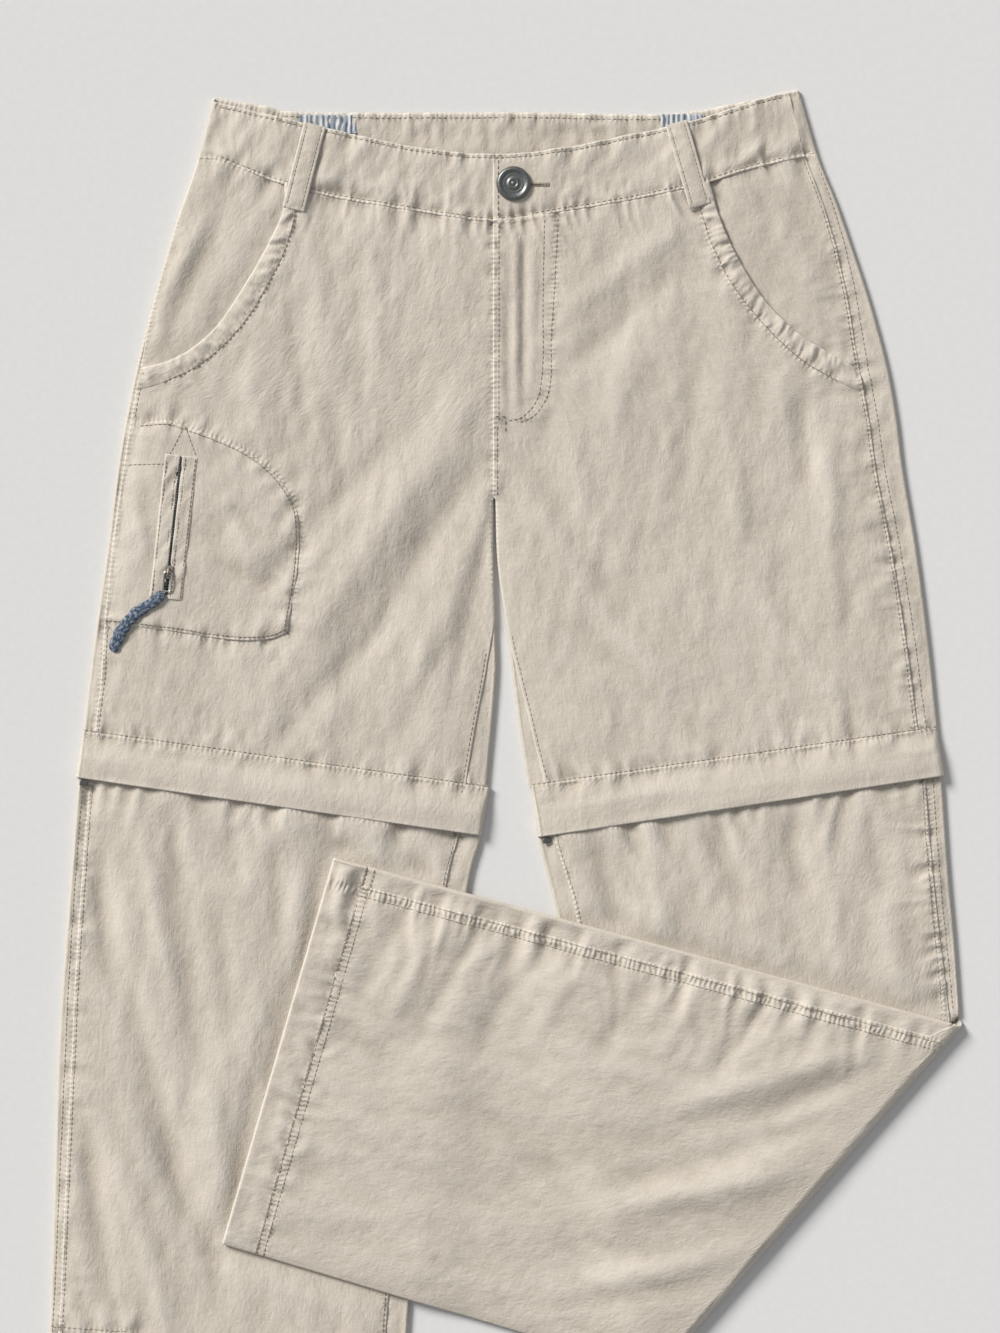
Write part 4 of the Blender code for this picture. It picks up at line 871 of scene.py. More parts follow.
def short_front(half, order, outer, middle, waist_y, n):
    """Front of one half of the shorts; its first n rows end at the pocket's stitched line."""
    mirrored = half == "right"
    stitch = along(POCKET_STITCH[half] + [tuple(outer[n - 1])], np.linspace(0, 1, n))
    left = np.vstack([stitch, outer[n:]])
    centre_x = CENTRE_X - 0.9 if mirrored else CENTRE_X + 1.2
    fall = np.linspace(waist_y, middle[n - 1, 1], n)
    right = np.vstack([np.stack([np.full(n, centre_x), fall], -1), middle[n:]])
    above = right[:, 1] > CROTCH_Y + 1
    right[above, 0] = centre_x
    shares = shares_across(250)
    x = left[0, 0] + (right[0, 0] - left[0, 0]) * shares
    waist = np.stack([x, band_low(x)], -1)
    left[0], right[0] = waist[0], waist[-1]
    hem = left[-1] + (right[-1] - left[-1]) * shares[:, None]
    plan = patch(waist, hem, left, right)
    nodes, lift = [f"short_front_{half}"], LIFT
    if mirrored:
        lift = LIFT + fly_lift(plan)
        nodes.append("fly_facing")
    cloth_piece(f"short_front_{half}", order(lay(plan, on_shorts(plan) + lift)), nodes,
                sides=("left", "right"), seams=seams_of(SHORT_DRAWN))


def pocket_edge(half, order, outer, side_y, n):
    """The front's turned and stitched pocket edge: a swelling strip drawn into short ripples."""
    mirrored, count = half == "right", 170
    edge = along(POCKET_EDGE[half] + [tuple(outer[np.abs(side_y - POCKET_FOOT_Y).argmin()])],
                 np.linspace(0, 1, count))
    inside = along(POCKET_STITCH[half] + [tuple(outer[n - 1])], np.linspace(0, 1, count))
    inside += unit(inside - edge) * 0.4
    across = np.array([0, 0.04, 0.1, 0.18, 0.3, 0.42, 0.54, 0.66, 0.78, 0.88, 0.95, 1])
    strip = edge[:, None] + (inside - edge)[:, None] * across[None, :, None]
    slant = run_of(edge)[:, None] + across * (4 if mirrored else 9)
    ripple = 0.7 * noise(slant / 3.2, across[None] * 1.5 + 3, 17) + 0.5
    ripple -= 1.8 * np.abs(noise(slant / 3.0, across, 18))
    swell = (0.9 + 0.95 * ripple) * np.sin(math.pi * np.clip(across * 0.9 + 0.1, 0, 1)) ** 0.7
    cloth_piece(f"pocket_edge_{half}", order(lay(strip, on_shorts(strip) + LIFT + swell)),
                [f"pocket_edge_{half}"],
                sides=("right" if mirrored else "left",), radius=0.9, seams=seams_of(SHORT_DRAWN))


def pocket_facing(half, order, outer, side_y):
    """Hip pocket facing, which sinks a little under the pocket's edge."""
    mirrored, rows = half == "right", 80
    places = np.linspace(0, np.abs(side_y - POCKET_FOOT_Y).argmin(), rows)
    near = np.stack([np.interp(places, np.arange(len(outer)), column) for column in outer.T], -1)
    far = along(POCKET_EDGE[half] + [tuple(near[-1])], np.linspace(0, 1, rows))
    far += (far - near) / np.maximum(np.linalg.norm(far - near, axis=1), 0.5)[:, None] * 2.2
    shares = shares_across(52)
    x = near[0, 0] + (far[0, 0] - near[0, 0]) * shares
    top_row = np.stack([x, band_low(x)], -1)
    near[0], far[0] = top_row[0], top_row[-1]
    foot = near[-1] + (far[-1] - near[-1]) * shares[:, None]
    facing = patch(top_row, foot, near, far)
    sink = (2.2 if mirrored else 1.3) * np.exp(-distance(facing, [spline(POCKET_EDGE[half], 4)]) / 9)
    sink *= smooth(distance(facing, SIDE_EDGES) / 9)
    cloth_piece(f"pocket_facing_{half}", order(lay(facing, on_shorts(facing) + LIFT - sink)),
                [f"pocket_facing_{half}"], look=SHADED_FACING,
                sides=("right" if mirrored else "left",), seams=seams_of(SHORT_DRAWN))


def half_of_shorts(half, outline, inner, seam, inseam, waist_y, knee_y):
    """Back, front, turned pocket edge and facing of one half of the shorts."""
    order = (lambda grid: grid[:, ::-1]) if half == "right" else (lambda grid: grid)
    pocket_y = np.linspace(waist_y[0], STITCH_FOOT_Y, 74)
    side_y = np.concatenate([pocket_y, np.linspace(STITCH_FOOT_Y, knee_y[0] - 6, 112)[1:]])
    side, centre = short_ends(outline, inner, waist_y, knee_y, side_y)
    short_back(half, side, centre, seam, inseam)
    outer, middle = seam_points(side, centre, seam, inseam, LAP)
    short_front(half, order, outer, middle, waist_y[2], len(pocket_y))
    pocket_edge(half, order, outer, side_y, len(pocket_y))
    pocket_facing(half, order, outer, side_y)


half_of_shorts("left", LEFT_OUTLINE, LEFT_INNER, LEFT_SEAM, LEFT_INSEAM, (457, 448, 419), (112, 78))
half_of_shorts("right", RIGHT_OUTLINE, RIGHT_INNER, RIGHT_SEAM, RIGHT_INSEAM, (460, 448, 419), (114, 79))
print("shorts:", MADE)

# %% [markdown]
# ## Waistband
# The band is a doubled strip, stitched close to both edges. The stitches draw it into small upright
# pleats. Its back half shows only its inner face, above the dip of the front.

# %% Waistband, belt loops and elastic
TOP_FRONT = spline(BAND_TOP_FRONT, 6)
TOP_STITCH = 2.4      # from the band's upper edge down to its stitches
BAND_LIFT = LIFT + 0.55
BAND_SEED = 37
OVERLAP_RISE = 0.8    # the right end of the band laps over the left one, from the centre to this width
OVERLAP_WIDTH = 24


def band_top(x):
    """Upper edge of the front waistband at x."""
    return np.interp(x, TOP_FRONT[:, 0], TOP_FRONT[:, 1])


def pleated(u, v, seed):
    """Sharp small pleats: noise folded at nothing, so that its ridges are narrow."""
    return 0.5 - 2 * np.abs(noise(u, v, seed))


def band_height(plan, lift, seed):
    """Height of the front waistband: smooth puff with pleats drawn up along both stitched edges."""
    d = distance(plan, SIDE_EDGES)
    low = plan[..., 1] - band_low(plan[..., 0])
    high = band_top(plan[..., 0]) - plan[..., 1]
    x = plan[..., 0]
    drawn = 0.8 * noise(x / 6.5, low / 30, seed) + 0.9 * pleated(x / 5.2, low / 22, seed + 4)
    pleats = 1.6 * drawn * np.exp(-(np.maximum(low, 0) / 12) ** 1.5)
    drawn = 0.8 * noise(x / 5.5, high / 24, seed + 1) + 0.8 * pleated(x / 4.6, high / 20, seed + 5)
    pleats += 1.25 * drawn * np.exp(-(np.maximum(high, 0) / 9) ** 1.5)
    pleats += 1.1 * creased(plan, 9, 24, 65, seed + 2) + 0.45 * creased(plan, 4.5, 10, 60, seed + 3)
    pleats *= 0.15 + 0.85 * smooth((np.hypot(x - BUTTON_AT[0], plan[..., 1] - BUTTON_AT[1]) - 11) / 12)
    groove = 0.5 * np.exp(-((low - 1.8) / 1.0) ** 2) + 0.45 * np.exp(-((high - 2.4) / 1.0) ** 2)
    apart = smooth((low - 1) / 10)
    own = roll(d) + rise_from(d) + pleats * smooth(d / 6)
    return own * apart + (on_shorts(plan) - 0.1) * (1 - apart) - groove * smooth(d / 6) + lift


def front_band(half):
    """One front half of the waistband."""
    mirrored = half == "right"
    v = shares_across(36, 1.5)[::-1]
    if mirrored:
        y = 460 + 38 * v
        end = x_on(RIGHT_OUTLINE, y) - inset_at(RIGHT_SEAM, y) + LAP
        start = np.full(len(v), CENTRE_X - 1.0)
    else:
        y = 457 + 34 * v
        end = x_on(LEFT_OUTLINE, y) + np.maximum(inset_at(LEFT_SEAM, y) - LAP, 0)
        start = np.full(len(v), CENTRE_X + 4.0)
    x = end[:, None] + (start - end)[:, None] * shares_across(180, 1.25)
    low = band_low(x) - 0.9
    plan = np.stack([x, low + (band_top(x) - low) * v[:, None]], -1)
    lift = BAND_LIFT
    if mirrored:
        lift = lift + OVERLAP_RISE * smooth((OVERLAP_WIDTH - x) / OVERLAP_WIDTH)
    grid = lay(plan, band_height(plan, lift, BAND_SEED))
    cloth_piece(f"waistband_front_{half}", grid[:, ::-1] if mirrored else grid, [f"waistband_front_{half}"],
                wall=1.0, radius=0.9,
                seams=[WAIST_SEAM, TOP_FRONT - (0, TOP_STITCH)],
                sides=("upper", "lower", "left") if mirrored else ("upper", "lower"))


def back_rise(x, below_top):
    """Height of the back band's inner face, drawn up in pleats below its upper edge."""
    drawn = 1.2 * noise(x / 6.5, below_top / 20, 51) + 1.2 * pleated(x / 5, below_top / 14, 53)
    drawn = drawn * np.exp(-(below_top / 20) ** 2) + 0.5 * noise(x / 4, below_top / 9, 52)
    return np.maximum(1.2 + drawn, 0.1)


def back_band():
    """The back half of the waistband: its inner face upwards, wrapped round both ends."""
    low, high = np.array(BAND_LOW_BACK, float), spline(BAND_TOP_BACK, 6)
    v = shares_across(36, 1.6)[::-1]
    left, right = (low[k] + (high[k] - low[k]) * v[:, None] for k in (0, -1))
    grid = wrapped(left, right, turn_of(inset_at(LEFT_SEAM, left[:, 1]) + LAP),
                   turn_of(inset_at(RIGHT_SEAM, right[:, 1]) + LAP), 170,
                   lambda xy, lift: band_height(xy, LIFT + lift, 43))
    x = np.clip(grid[..., 0], low[0, 0], low[-1, 0])
    low_y, high_y = np.interp(x, low[:, 0], low[:, 1]), np.interp(x, high[:, 0], high[:, 1])
    bend = (1 - v)[:, None] * low_y + v[:, None] * high_y
    grid[..., 1] = bend
    top_edge = high_y - bend
    flat = (grid[..., 2] < 0.01) & (np.abs(x + 1) < 160)
    grid[..., 2] += flat * back_rise(x, top_edge)
    cloth_piece("waistband_back", grid, ["waistband_back"], look=SHADED_INSIDE, flip=True, wall=1.2,
                sides=("upper",), seams=[WAIST_SEAM, spline(BAND_TOP_BACK, 6) - (0, TOP_STITCH)])


def loop_height(half):
    """Function for a belt loop's height: an arch over the band, a pillow across, a groove at each stitch
    row and small ripples."""
    a, b = (np.array(p, float) for p in LOOPS[half])
    length = np.linalg.norm(b - a)
    run = (b - a) / length

    def height(xy):
        """Height of the loop's outer face at plan points."""
        rel = np.asarray(xy, float) - a
        v = np.clip(rel @ run / length, 0, 1)
        u = (rel[..., 1] * run[0] - rel[..., 0] * run[1]) / LOOP_WIDTH
        d = distance(a + (b - a) * v[..., None], SIDE_EDGES)
        pillow = 0.3 * np.cos(math.pi * u) - 0.3 * np.exp(-((np.abs(u) - 0.33) / 0.06) ** 2)
        ripple = 0.28 * creased(xy, 3.0, 7, 15, 61) + 0.2 * creased(xy, 6, 14, 75, 62)
        return roll(d) + rise_from(d) + LIFT + 1.35 + 1.5 * np.sin(math.pi * v) ** 0.7 + pillow + ripple
    return height


def belt_loop(half):
    """A belt loop: a narrow folded strip with two stitched edges that arches over the waistband."""
    a, b = (np.array(p, float) for p in LOOPS[half])
    run = unit(b - a)
    side = np.array([-run[1], run[0]])
    v = shares_across(53, 1.1)
    u = np.array([-0.5, -0.48, -0.44, -0.39, -0.33, -0.26, -0.18, -0.08, 0.08, 0.18, 0.26, 0.33, 0.39, 0.44,
                  0.48, 0.5])
    plan = a + (b - a) * v[:, None, None] + side * (u * LOOP_WIDTH)[None, :, None]
    cloth_piece(f"belt_loop_{half}", lay(plan, loop_height(half)(plan)), [f"belt_loop_{half}"],
                wall=1.1, sides=("left", "right", "lower"))


for half in ("left", "right"):
    front_band(half)
    belt_loop(half)
back_band()
print("waist:", MADE[-5:])

# %% [markdown]
# ## Knee flaps and lower legs
# A flap rings each leg over its zip. It is sewn along its upper edge, where the thigh is gathered, and
# its lower edge stands free. The lower leg comes out from under it.

# %% Rings: knee flaps and hems


def hem_rise(v):
    """How far a hem ring stands above its leg, at shares v from its sewn edge."""
    return LIFT + 0.1 + HEM_LIFT * smooth(v * 4)


def ring_grid(left, right, over, height, lift):
    """Flat ring round a leg: over the top, round the right edge, back under, and round the left edge.
    lift gives, for each row, how far the ring stands above the layer that it rings."""
    width = np.linalg.norm(right - left, axis=1)[:, None]
    r = EDGE_R + np.reshape(lift, (-1, 1)) / 2
    s = np.linspace(0, 1, over)
    span = r + (width - 2 * r) * s
    turn = np.radians([67, 45, 22, 0, -22, -45, -67])
    a = np.hstack([span, width - r + r * np.cos(turn), span[:, ::-1], r - r * np.cos(turn[::-1])])
    level = np.zeros(span.shape)
    z = np.hstack([level, r + r * np.sin(turn), level, r + r * np.sin(turn[::-1])])
    xy = left[:, None] + ((right - left) / width)[:, None] * a[..., None]
    z[:, :over] = height(xy[:, :over]) + np.reshape(lift, (-1, 1))
    return lay(xy, z)


def knee_flap(half):
    """The flap over one knee zip."""
    top_row, low_row = np.array(FLAP_TOP[half], float), np.array(FLAP_LOW[half], float)
    v = np.array([-0.03, 0, 0.02, 0.05, 0.09, 0.14, 0.2, 0.27, 0.34, 0.41, 0.48, 0.55, 0.62, 0.69, 0.76, 0.83,
                  0.89, 0.94, 0.97, 0.985, 1])
    left, right = (top_row[k] + (low_row[k] - top_row[k]) * v[:, None] for k in (0, 1))
    number = 5 if half == "left" else 9

    def height(xy):
        """The thigh under the flap, smoother away from the sewn edge, with the flap's own dents."""
        edge, rise, small = shorts_height(xy)
        d, s = nearest(xy, np.array(FLAP_TOP[half], float))
        dents = 0.5 * noise(s / 26, d / 11, number) + 0.3 * noise(s / 60, d / 3.5, number + 1)
        dents += 0.3 * noise(s / 9, d / 14, number + 2)
        return edge + rise + small * (0.3 + 0.7 * np.exp(-(d / 8) ** 2)) + dents * smooth(d / 5)

    lift = LIFT + 0.2 + FLAP_LIFT * smooth(v * 1.5)
    grid = ring_grid(left, right, 142, height, lift)
    cloth_piece(f"knee_flap_{half}", grid, [f"knee_flap_{half}"],
                closed=True, wall=0.9, sides=("lower",), seams=[top_row])


knee_flap("left")
knee_flap("right")
print("flaps:", MADE[-2:])

# %% Left lower leg


def lower_ends(outline, inner, start, stop, shares):
    """Row ends of a lower leg between the heights at its outer and inner edge."""
    outer_y = start[0] + (stop[0] - start[0]) * shares
    inner_y = start[1] + (stop[1] - start[1]) * shares
    return np.stack([x_on(outline, outer_y), outer_y], -1), np.stack([x_on(inner, inner_y), inner_y], -1)


def lower_left():
    """Back, front and hem of the left lower leg."""
    hem_y = LEFT_HEM_Y + HEM_HEIGHT
    side, inner = lower_ends(LEFT_OUTLINE, LEFT_INNER, (94, 59), (hem_y - 0.6, hem_y - 0.6),
                             np.linspace(0, 1, 280))
    grid = wrapped(side, inner, turn_of(inset_at(LEFT_SEAM, side[:, 1]) + LAP),
                   turn_of(inset_at(LEFT_INSEAM, inner[:, 1]) + LAP), 10, on_lower)
    cloth_piece("lower_back_left", grid, ["lower_back_left"], flip=True,
                seams=seams_of(LOWER_DRAWN))
    outer, middle = seam_points(side, inner, LEFT_SEAM, LEFT_INSEAM, LAP)
    plan = outer[:, None] + (middle - outer)[:, None] * shares_across(195, 2.1)[None, :, None]
    cloth_piece("lower_front_left", lay(plan, on_lower(plan) + LIFT), ["lower_front_left"],
                sides=("left", "right"), seams=seams_of(LOWER_DRAWN))
    v = np.array([-0.03, 0, 0.04, 0.1, 0.18, 0.3, 0.42, 0.54, 0.66, 0.78, 0.88, 0.95, 0.98, 1])
    y = hem_y + (LEFT_HEM_Y - hem_y) * v
    left = np.stack([x_on(LEFT_OUTLINE, y), y], -1)
    right = np.stack([x_on(LEFT_INNER, y), y], -1)
    grid = ring_grid(left, right, 110, on_lower, hem_rise(v))
    cloth_piece("hem_left", grid, ["hem_left"], closed=True,
                sides=("lower",), seams=seams_of(LOWER_DRAWN))


lower_left()
print("left lower leg:", MADE[-3:])

# %% [markdown]
# ## The folded leg
# The right lower leg lies on the floor, turns up round a diagonal fold and comes back over the other
# leg. Its back panel is one grid all the way: rows on the floor, rows round the fold and rows on top.

# %% Right lower leg and its fold


def axis_height(outline, fold_y):
    """Height on an outline where the cloth starts to turn up, one fold radius short of the fold."""
    y = np.linspace(fold_y, fold_y + 20, 60)
    return float(np.interp(FOLD_R, distance(np.stack([x_on(outline, y), y], -1), FOLD_LINE), y))


def turned_rows(t, first, hem_share, inset, under, count):
    """Rows across the folded leg at shares t from the fold to the hem. The back shows on top, from the
    felled seam to the lower edge; the hidden layers come round the upper edge to that seam."""
    a, b, c, d = (np.array(p, float) for p in (CORNER_A, CORNER_B, CORNER_C, CORNER_D))
    share = [first[k] + (hem_share[k] - first[k]) * t for k in (0, 1)]
    upper, lower = b + (a - b) * share[0][:, None], c + (d - c) * share[1][:, None]
    width = np.linalg.norm(lower - upper, axis=1)[:, None]
    if under:
        near, near_z, over = (part[:, ::-1] for part in edge_grid(turn_of(inset + 0.8)))
        turn = np.linspace(-QUARTER, -0.9, 6)
        far = width - EDGE_R * (1 - np.cos(turn / EDGE_R))
        far_z = np.broadcast_to(EDGE_R * (1 + np.sin(turn / EDGE_R)), far.shape)
    else:
        near = (inset[:, None] - 0.2) + np.array([0, 0.3, 0.7, 1.2, 1.9, 2.7, 3.6, 4.6, 5.8, 7.2])
        near_z, over = np.zeros(near.shape), np.ones(near.shape, bool)
        turn = np.linspace(QUARTER, 0.7, 6)
        far = width - EDGE_R * (1 - np.cos(turn / EDGE_R))
        far_z = np.broadcast_to(EDGE_R * (1 + np.sin(turn / EDGE_R)), far.shape)
    middle = count - near.shape[1] - far.shape[1]
    s = np.linspace(0, 1, middle + 2)[1:-1]
    places = np.hstack([near, near[:, -1:] + (far[:, :1] - near[:, -1:]) * s, far])
    xy = upper[:, None] + ((lower - upper) / width)[:, None] * places[..., None]
    on_top = np.hstack([over, np.full((len(t), middle), not under), np.zeros(far.shape, bool)])
    z = np.hstack([near_z, np.zeros((len(t), middle)), far_z])
    return lay(xy, np.where(on_top, on_turned(xy, 0.0 if under else LIFT), fold_base(xy) + z))


def lower_right():
    """Back, front, hidden layers and hem of the folded leg."""
    a, b, c, d = (np.array(p, float) for p in (CORNER_A, CORNER_B, CORNER_C, CORNER_D))
    along_fold = unit(c - b)
    away = np.array([-along_fold[1], along_fold[0]])
    away = -away if away @ (b - a) < 0 else away
    first = (FOLD_R / ((b - a) @ away), FOLD_R / ((c - d) @ away))
    hem_share = (1 - HEM_HEIGHT / np.linalg.norm(b - a), 1 - HEM_HEIGHT / np.linalg.norm(c - d))
    stop = [axis_height(RIGHT_OUTLINE, b[1]), axis_height(RIGHT_INNER, c[1])]
    count = 112
    shares = np.concatenate([np.linspace(0, 0.93, 58), [0.955, 0.975, 0.99, 1]])
    side, inner = lower_ends(RIGHT_OUTLINE, RIGHT_INNER, (94, 58), stop, shares)
    middle = count - 40
    laid = wrapped(side[:-2], inner[:-2], turn_of(inset_at(RIGHT_SEAM, side[:-2, 1]) + LAP),
                   turn_of(inset_at(RIGHT_INSEAM, inner[:-2, 1]) + LAP), middle, on_lower)
    flat = wrapped(side[-1:], inner[-1:], None, None, middle, on_lower)[0]
    ends = np.stack([b + (a - b) * first[0], c + (d - c) * first[1]])
    level = wrapped(ends[:1], ends[1:], None, None, middle, on_lower)[0]
    angle = np.linspace(0, math.pi, 12)[:-1, None, None]
    bent = flat + (level - flat) * angle / math.pi
    bent[..., :2] += away * FOLD_R * np.sin(angle)
    bent[..., 2] = FOLD_R * (1 - np.cos(angle[..., 0]))
    t = np.concatenate([[0.0, 0.006, 0.012, 0.02], np.linspace(0.03, 1.0, 176)])
    grid = np.vstack([laid, bent, turned_rows(t, first, hem_share, FELLED_INSET * np.minimum(t / 0.02, 1),
                                              False, count)])
    cloth_piece("lower_back_right", grid, ["lower_back_right"],
                sides=("left",), reach=SEAM_REACH_WIDE,
                seams=seams_of(TURNED_DRAWN[:4]) + [LOWER_DRAWN[4][0][LEG_Y > -40]])
    t = np.concatenate([[0.003, 0.007, 0.012, 0.016, 0.02], np.linspace(0.026, 1.0, 150)])
    grid = turned_rows(t, first, hem_share, FELLED_INSET * np.minimum(t / 0.02, 1), True, 34)
    cloth_piece("fold_layers_right", grid, ["fold_layers_right"], flip=True)
    outer, middle_line = seam_points(side[:-2], inner[:-2], RIGHT_SEAM, RIGHT_INSEAM, LAP)
    plan = outer[:, None] + (middle_line - outer)[:, None] * shares_across(215, 2.1)[None, :, None]
    rows = np.linspace(0, len(plan) - 1, 118)
    low = np.floor(rows).astype(int).clip(0, len(plan) - 2)
    plan = plan[low] + (plan[low + 1] - plan[low]) * (rows - low)[:, None, None]
    cloth_piece("lower_front_right", lay(plan, on_lower(plan) + LIFT)[:, ::-1], ["lower_front_right"],
                sides=("left", "right"), seams=seams_of(LOWER_DRAWN))
    v = np.array([-0.03, 0, 0.04, 0.1, 0.18, 0.27, 0.36, 0.45, 0.54, 0.63, 0.72, 0.8, 0.88, 0.94, 0.98, 1])
    upper, lower = b + (a - b) * hem_share[0], c + (d - c) * hem_share[1]
    one, two = upper + (a - upper) * v[:, None], lower + (d - lower) * v[:, None]
    grid = ring_grid(one, two, 128, lambda xy: on_turned(xy) - fold_base(xy), hem_rise(v))
    grid[..., 2] += fold_base(grid[..., :2])
    cloth_piece("hem_right", grid, ["hem_right"], closed=True,
                sides=("lower",), seams=seams_of(TURNED_DRAWN[:4]),
                reach=SEAM_REACH_WIDE)


lower_right()
print("right lower leg:", MADE[-4:])

# %% [markdown]
# ## Thigh pocket
# A patch pocket with a rounded front corner and an upright zip between two narrow welts.

# %% Cargo pocket, welts and zip


def zip_frame():
    """Unit vector down the pocket zip and the one across it."""
    run = unit(np.subtract(ZIP_FOOT, ZIP_TOP))
    return run, np.array([-run[1], run[0]])


def zip_length():
    """Length of the pocket zip."""
    return np.linalg.norm(np.subtract(ZIP_FOOT, ZIP_TOP))


def cargo_height(xy):
    """Height of the patch pocket's face: the thigh under it, lifted, with its own crumple."""
    puffed = 0.9 * creased(xy, 12, 26, 30, 81) + 0.45 * creased(xy, 6, 14, 65, 82)
    puffed *= smooth((distance(xy, ZIP_LINE) - 5) / 10)
    from_side = distance(xy, [spline(CARGO_SIDE, 4)])
    return on_shorts(xy) + LIFT + 0.1 + (CARGO_LIFT + 0.1) * smooth(from_side / 12) + 0.6 * puffed


def cargo_pocket():
    """Patch, its two welts and the tape between them."""
    wide, tall = shares_across(95), shares_across(125)
    plan = patch(along(CARGO_TOP, wide), along(CARGO_FOOT, wide), along(CARGO_SIDE, tall),
                 along(CARGO_FRONT, tall))
    d = distance(plan, [spline(line, 4) for line in (CARGO_TOP, CARGO_FRONT, CARGO_FOOT, CARGO_SIDE)])
    low = 0.75 * np.exp(-(d / 2.2) ** 2)
    cloth_piece("cargo_pocket", lay(plan, cargo_height(plan) - low), ["cargo_pocket"],
                sides=("upper", "lower", "right"), radius=0.9,
                seams=seams_of(SHORT_DRAWN))
    run, across = zip_frame()
    start, length = np.array(ZIP_TOP, float), zip_length()
    v = shares_across(length, 1.4)
    spine = start + run * (length * v)[:, None, None]
    for name, low_edge, high_edge in (("zip_welt_left", -ZIP_GAP / 2 - WELT_WIDTH, -SLIT / 2),
                                      ("zip_welt_right", SLIT / 2, ZIP_GAP / 2 + WELT_WIDTH)):
        u = low_edge + (high_edge - low_edge) * shares_across(WELT_WIDTH + 7.5, 1.0)
        plan = spine + across * u[None, :, None]
        ripple = 0.7 * creased(plan, 3.6, 12, 55, 91) + 0.25 * creased(plan, 2.5, 5, 40, 92)
        cloth_piece(name, lay(plan, cargo_height(plan) + 0.9 + ripple), [name],
                    wall=0.6, sides=("upper", "lower", "left", "right"))


cargo_pocket()
print("thigh pocket:", MADE[-3:])

# %% [markdown]
# ## Stitches
# Topstitching is a row of short lengths of thread that dive into the cloth. Each stitch is a small
# spindle, and all rows of one part are one mesh, made from arrays: a spindle's points times the
# frames of all stitches.

# %% Rows of stitches
STITCH_PITCH = 3.1
STITCH_LENGTH = 2.3
STITCH_R = 0.3


def thread_material(name, colour):
    """Matt thread with a fine twist."""
    mat, tree, shader = new_material(name)
    place = tree.nodes.new("ShaderNodeTexCoord")
    twist = add_node(tree, "ShaderNodeTexNoise", {"Scale": 900.0, "Detail": 2.0})
    tree.links.new(place.outputs["Object"], twist.inputs["Vector"])
    tint = mix_colour(tree, twist.outputs["Fac"], tuple(0.75 * c for c in colour) + (1,), (*colour, 1))
    tree.links.new(tint, shader.inputs["Base Color"])
    bump_into(tree, shader, twist.outputs["Fac"], 0.4, 0.0002)
    shader.inputs["Roughness"].default_value = 0.8
    return mat


# The thread is coloured darker than the cloth: partly its own greyer tone, and partly painted shade for the
# small shadows at the stitch holes.
THREAD = thread_material("sand_thread", (0.44, 0.38, 0.30))


def spindles(name, centres, directions, lengths, radius, look):
    """One mesh of many spindles: a ring profile along each direction, at each centre, in millimetres."""
    profile = np.array([(-0.5, 0.35), (-0.25, 1.0), (0.25, 1.0), (0.5, 0.35)])
    angle = np.linspace(0, 2 * math.pi, 5, endpoint=False)
    sideways = unit(np.stack([-directions[:, 1], directions[:, 0], np.zeros(len(directions))], -1))
    upward = np.cross(directions, sideways)
    run = profile[:, 0][None, :, None, None] * (directions * lengths[:, None])[:, None, None]
    around = (np.cos(angle)[None, None, :, None] * sideways[:, None, None]
              + np.sin(angle)[None, None, :, None] * upward[:, None, None])
    points = centres[:, None, None] + run + around * radius * profile[:, 1][None, :, None, None]
    rings, sides = len(profile), len(angle)
    index = np.arange(rings * sides).reshape(rings, sides)
    following = np.roll(index, -1, axis=1)
    quads = np.stack([index[:-1], following[:-1], following[1:], index[1:]], -1).reshape(-1, 4)
    offsets = np.arange(len(centres)) * rings * sides
    faces = (offsets[:, None, None] + quads).reshape(-1, 4).tolist()
    faces += (offsets[:, None] + index[0][::-1]).tolist() + (offsets[:, None] + index[-1]).tolist()
    mesh = bpy.data.meshes.new(name)
    mesh.from_pydata((points.reshape(-1, 3) * MM).tolist(), [], faces)
    mesh.shade_smooth()
    mesh.materials.append(look)
    piece = add_object(name, mesh)
    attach(piece, "garment")


def stitch_rows(name, rows, pitch=STITCH_PITCH):
    """Topstitching along plan lines; each row is a line of points, its height function and its lift."""
    centres, directions, lengths = [], [], []
    for line, height, lift in rows:
        run = run_of(line)
        count = max(int(run[-1] / pitch), 2)
        middle = (np.arange(count) + 0.5) * run[-1] / count
        ends = [np.stack([np.interp(middle + k * STITCH_LENGTH / 2, run, line[:, j]) for j in (0, 1)], -1)
                for k in (-1, 1)]
        tips = [lay(e, height(e) + lift) for e in ends]
        span = tips[1] - tips[0]
        long = np.linalg.norm(span, axis=1)
        centres.append((tips[0] + tips[1]) / 2)
        directions.append(span / long[:, None])
        lengths.append(long)
    spindles(name, np.vstack(centres), np.vstack(directions), np.concatenate(lengths), STITCH_R, THREAD)
    print(name, sum(len(c) for c in centres), "stitches")


def beside(line, offset):
    """A line moved sideways in plan, to its left for a positive offset."""
    tangent = unit(np.gradient(line, axis=0))
    return line + np.stack([-tangent[:, 1], tangent[:, 0]], -1) * offset


def between_heights(line, low, high):
    """The stretch of a line whose y lies between two heights."""
    return line[(line[:, 1] >= low) & (line[:, 1] <= high)]


SEAM_Y = np.linspace(456, 80, 120)
LOW_Y = np.linspace(84, -476, 150)
left_side = side_seam(LEFT_OUTLINE, LEFT_SEAM, 1, SEAM_Y)
right_side = side_seam(RIGHT_OUTLINE, RIGHT_SEAM, -1, SEAM_Y)
left_in = side_seam(LEFT_INNER, LEFT_INSEAM, -1, np.linspace(160, 84, 30))
right_in = side_seam(RIGHT_INNER, RIGHT_INSEAM, 1, np.linspace(170, 84, 30))
fly_line = np.array([(1.6, y) for y in np.linspace(417, FLY_FOOT_Y, 30)])
centre_low = np.array([(0.7, y) for y in np.linspace(296, 254, 12)])
raised = LIFT + 0.12


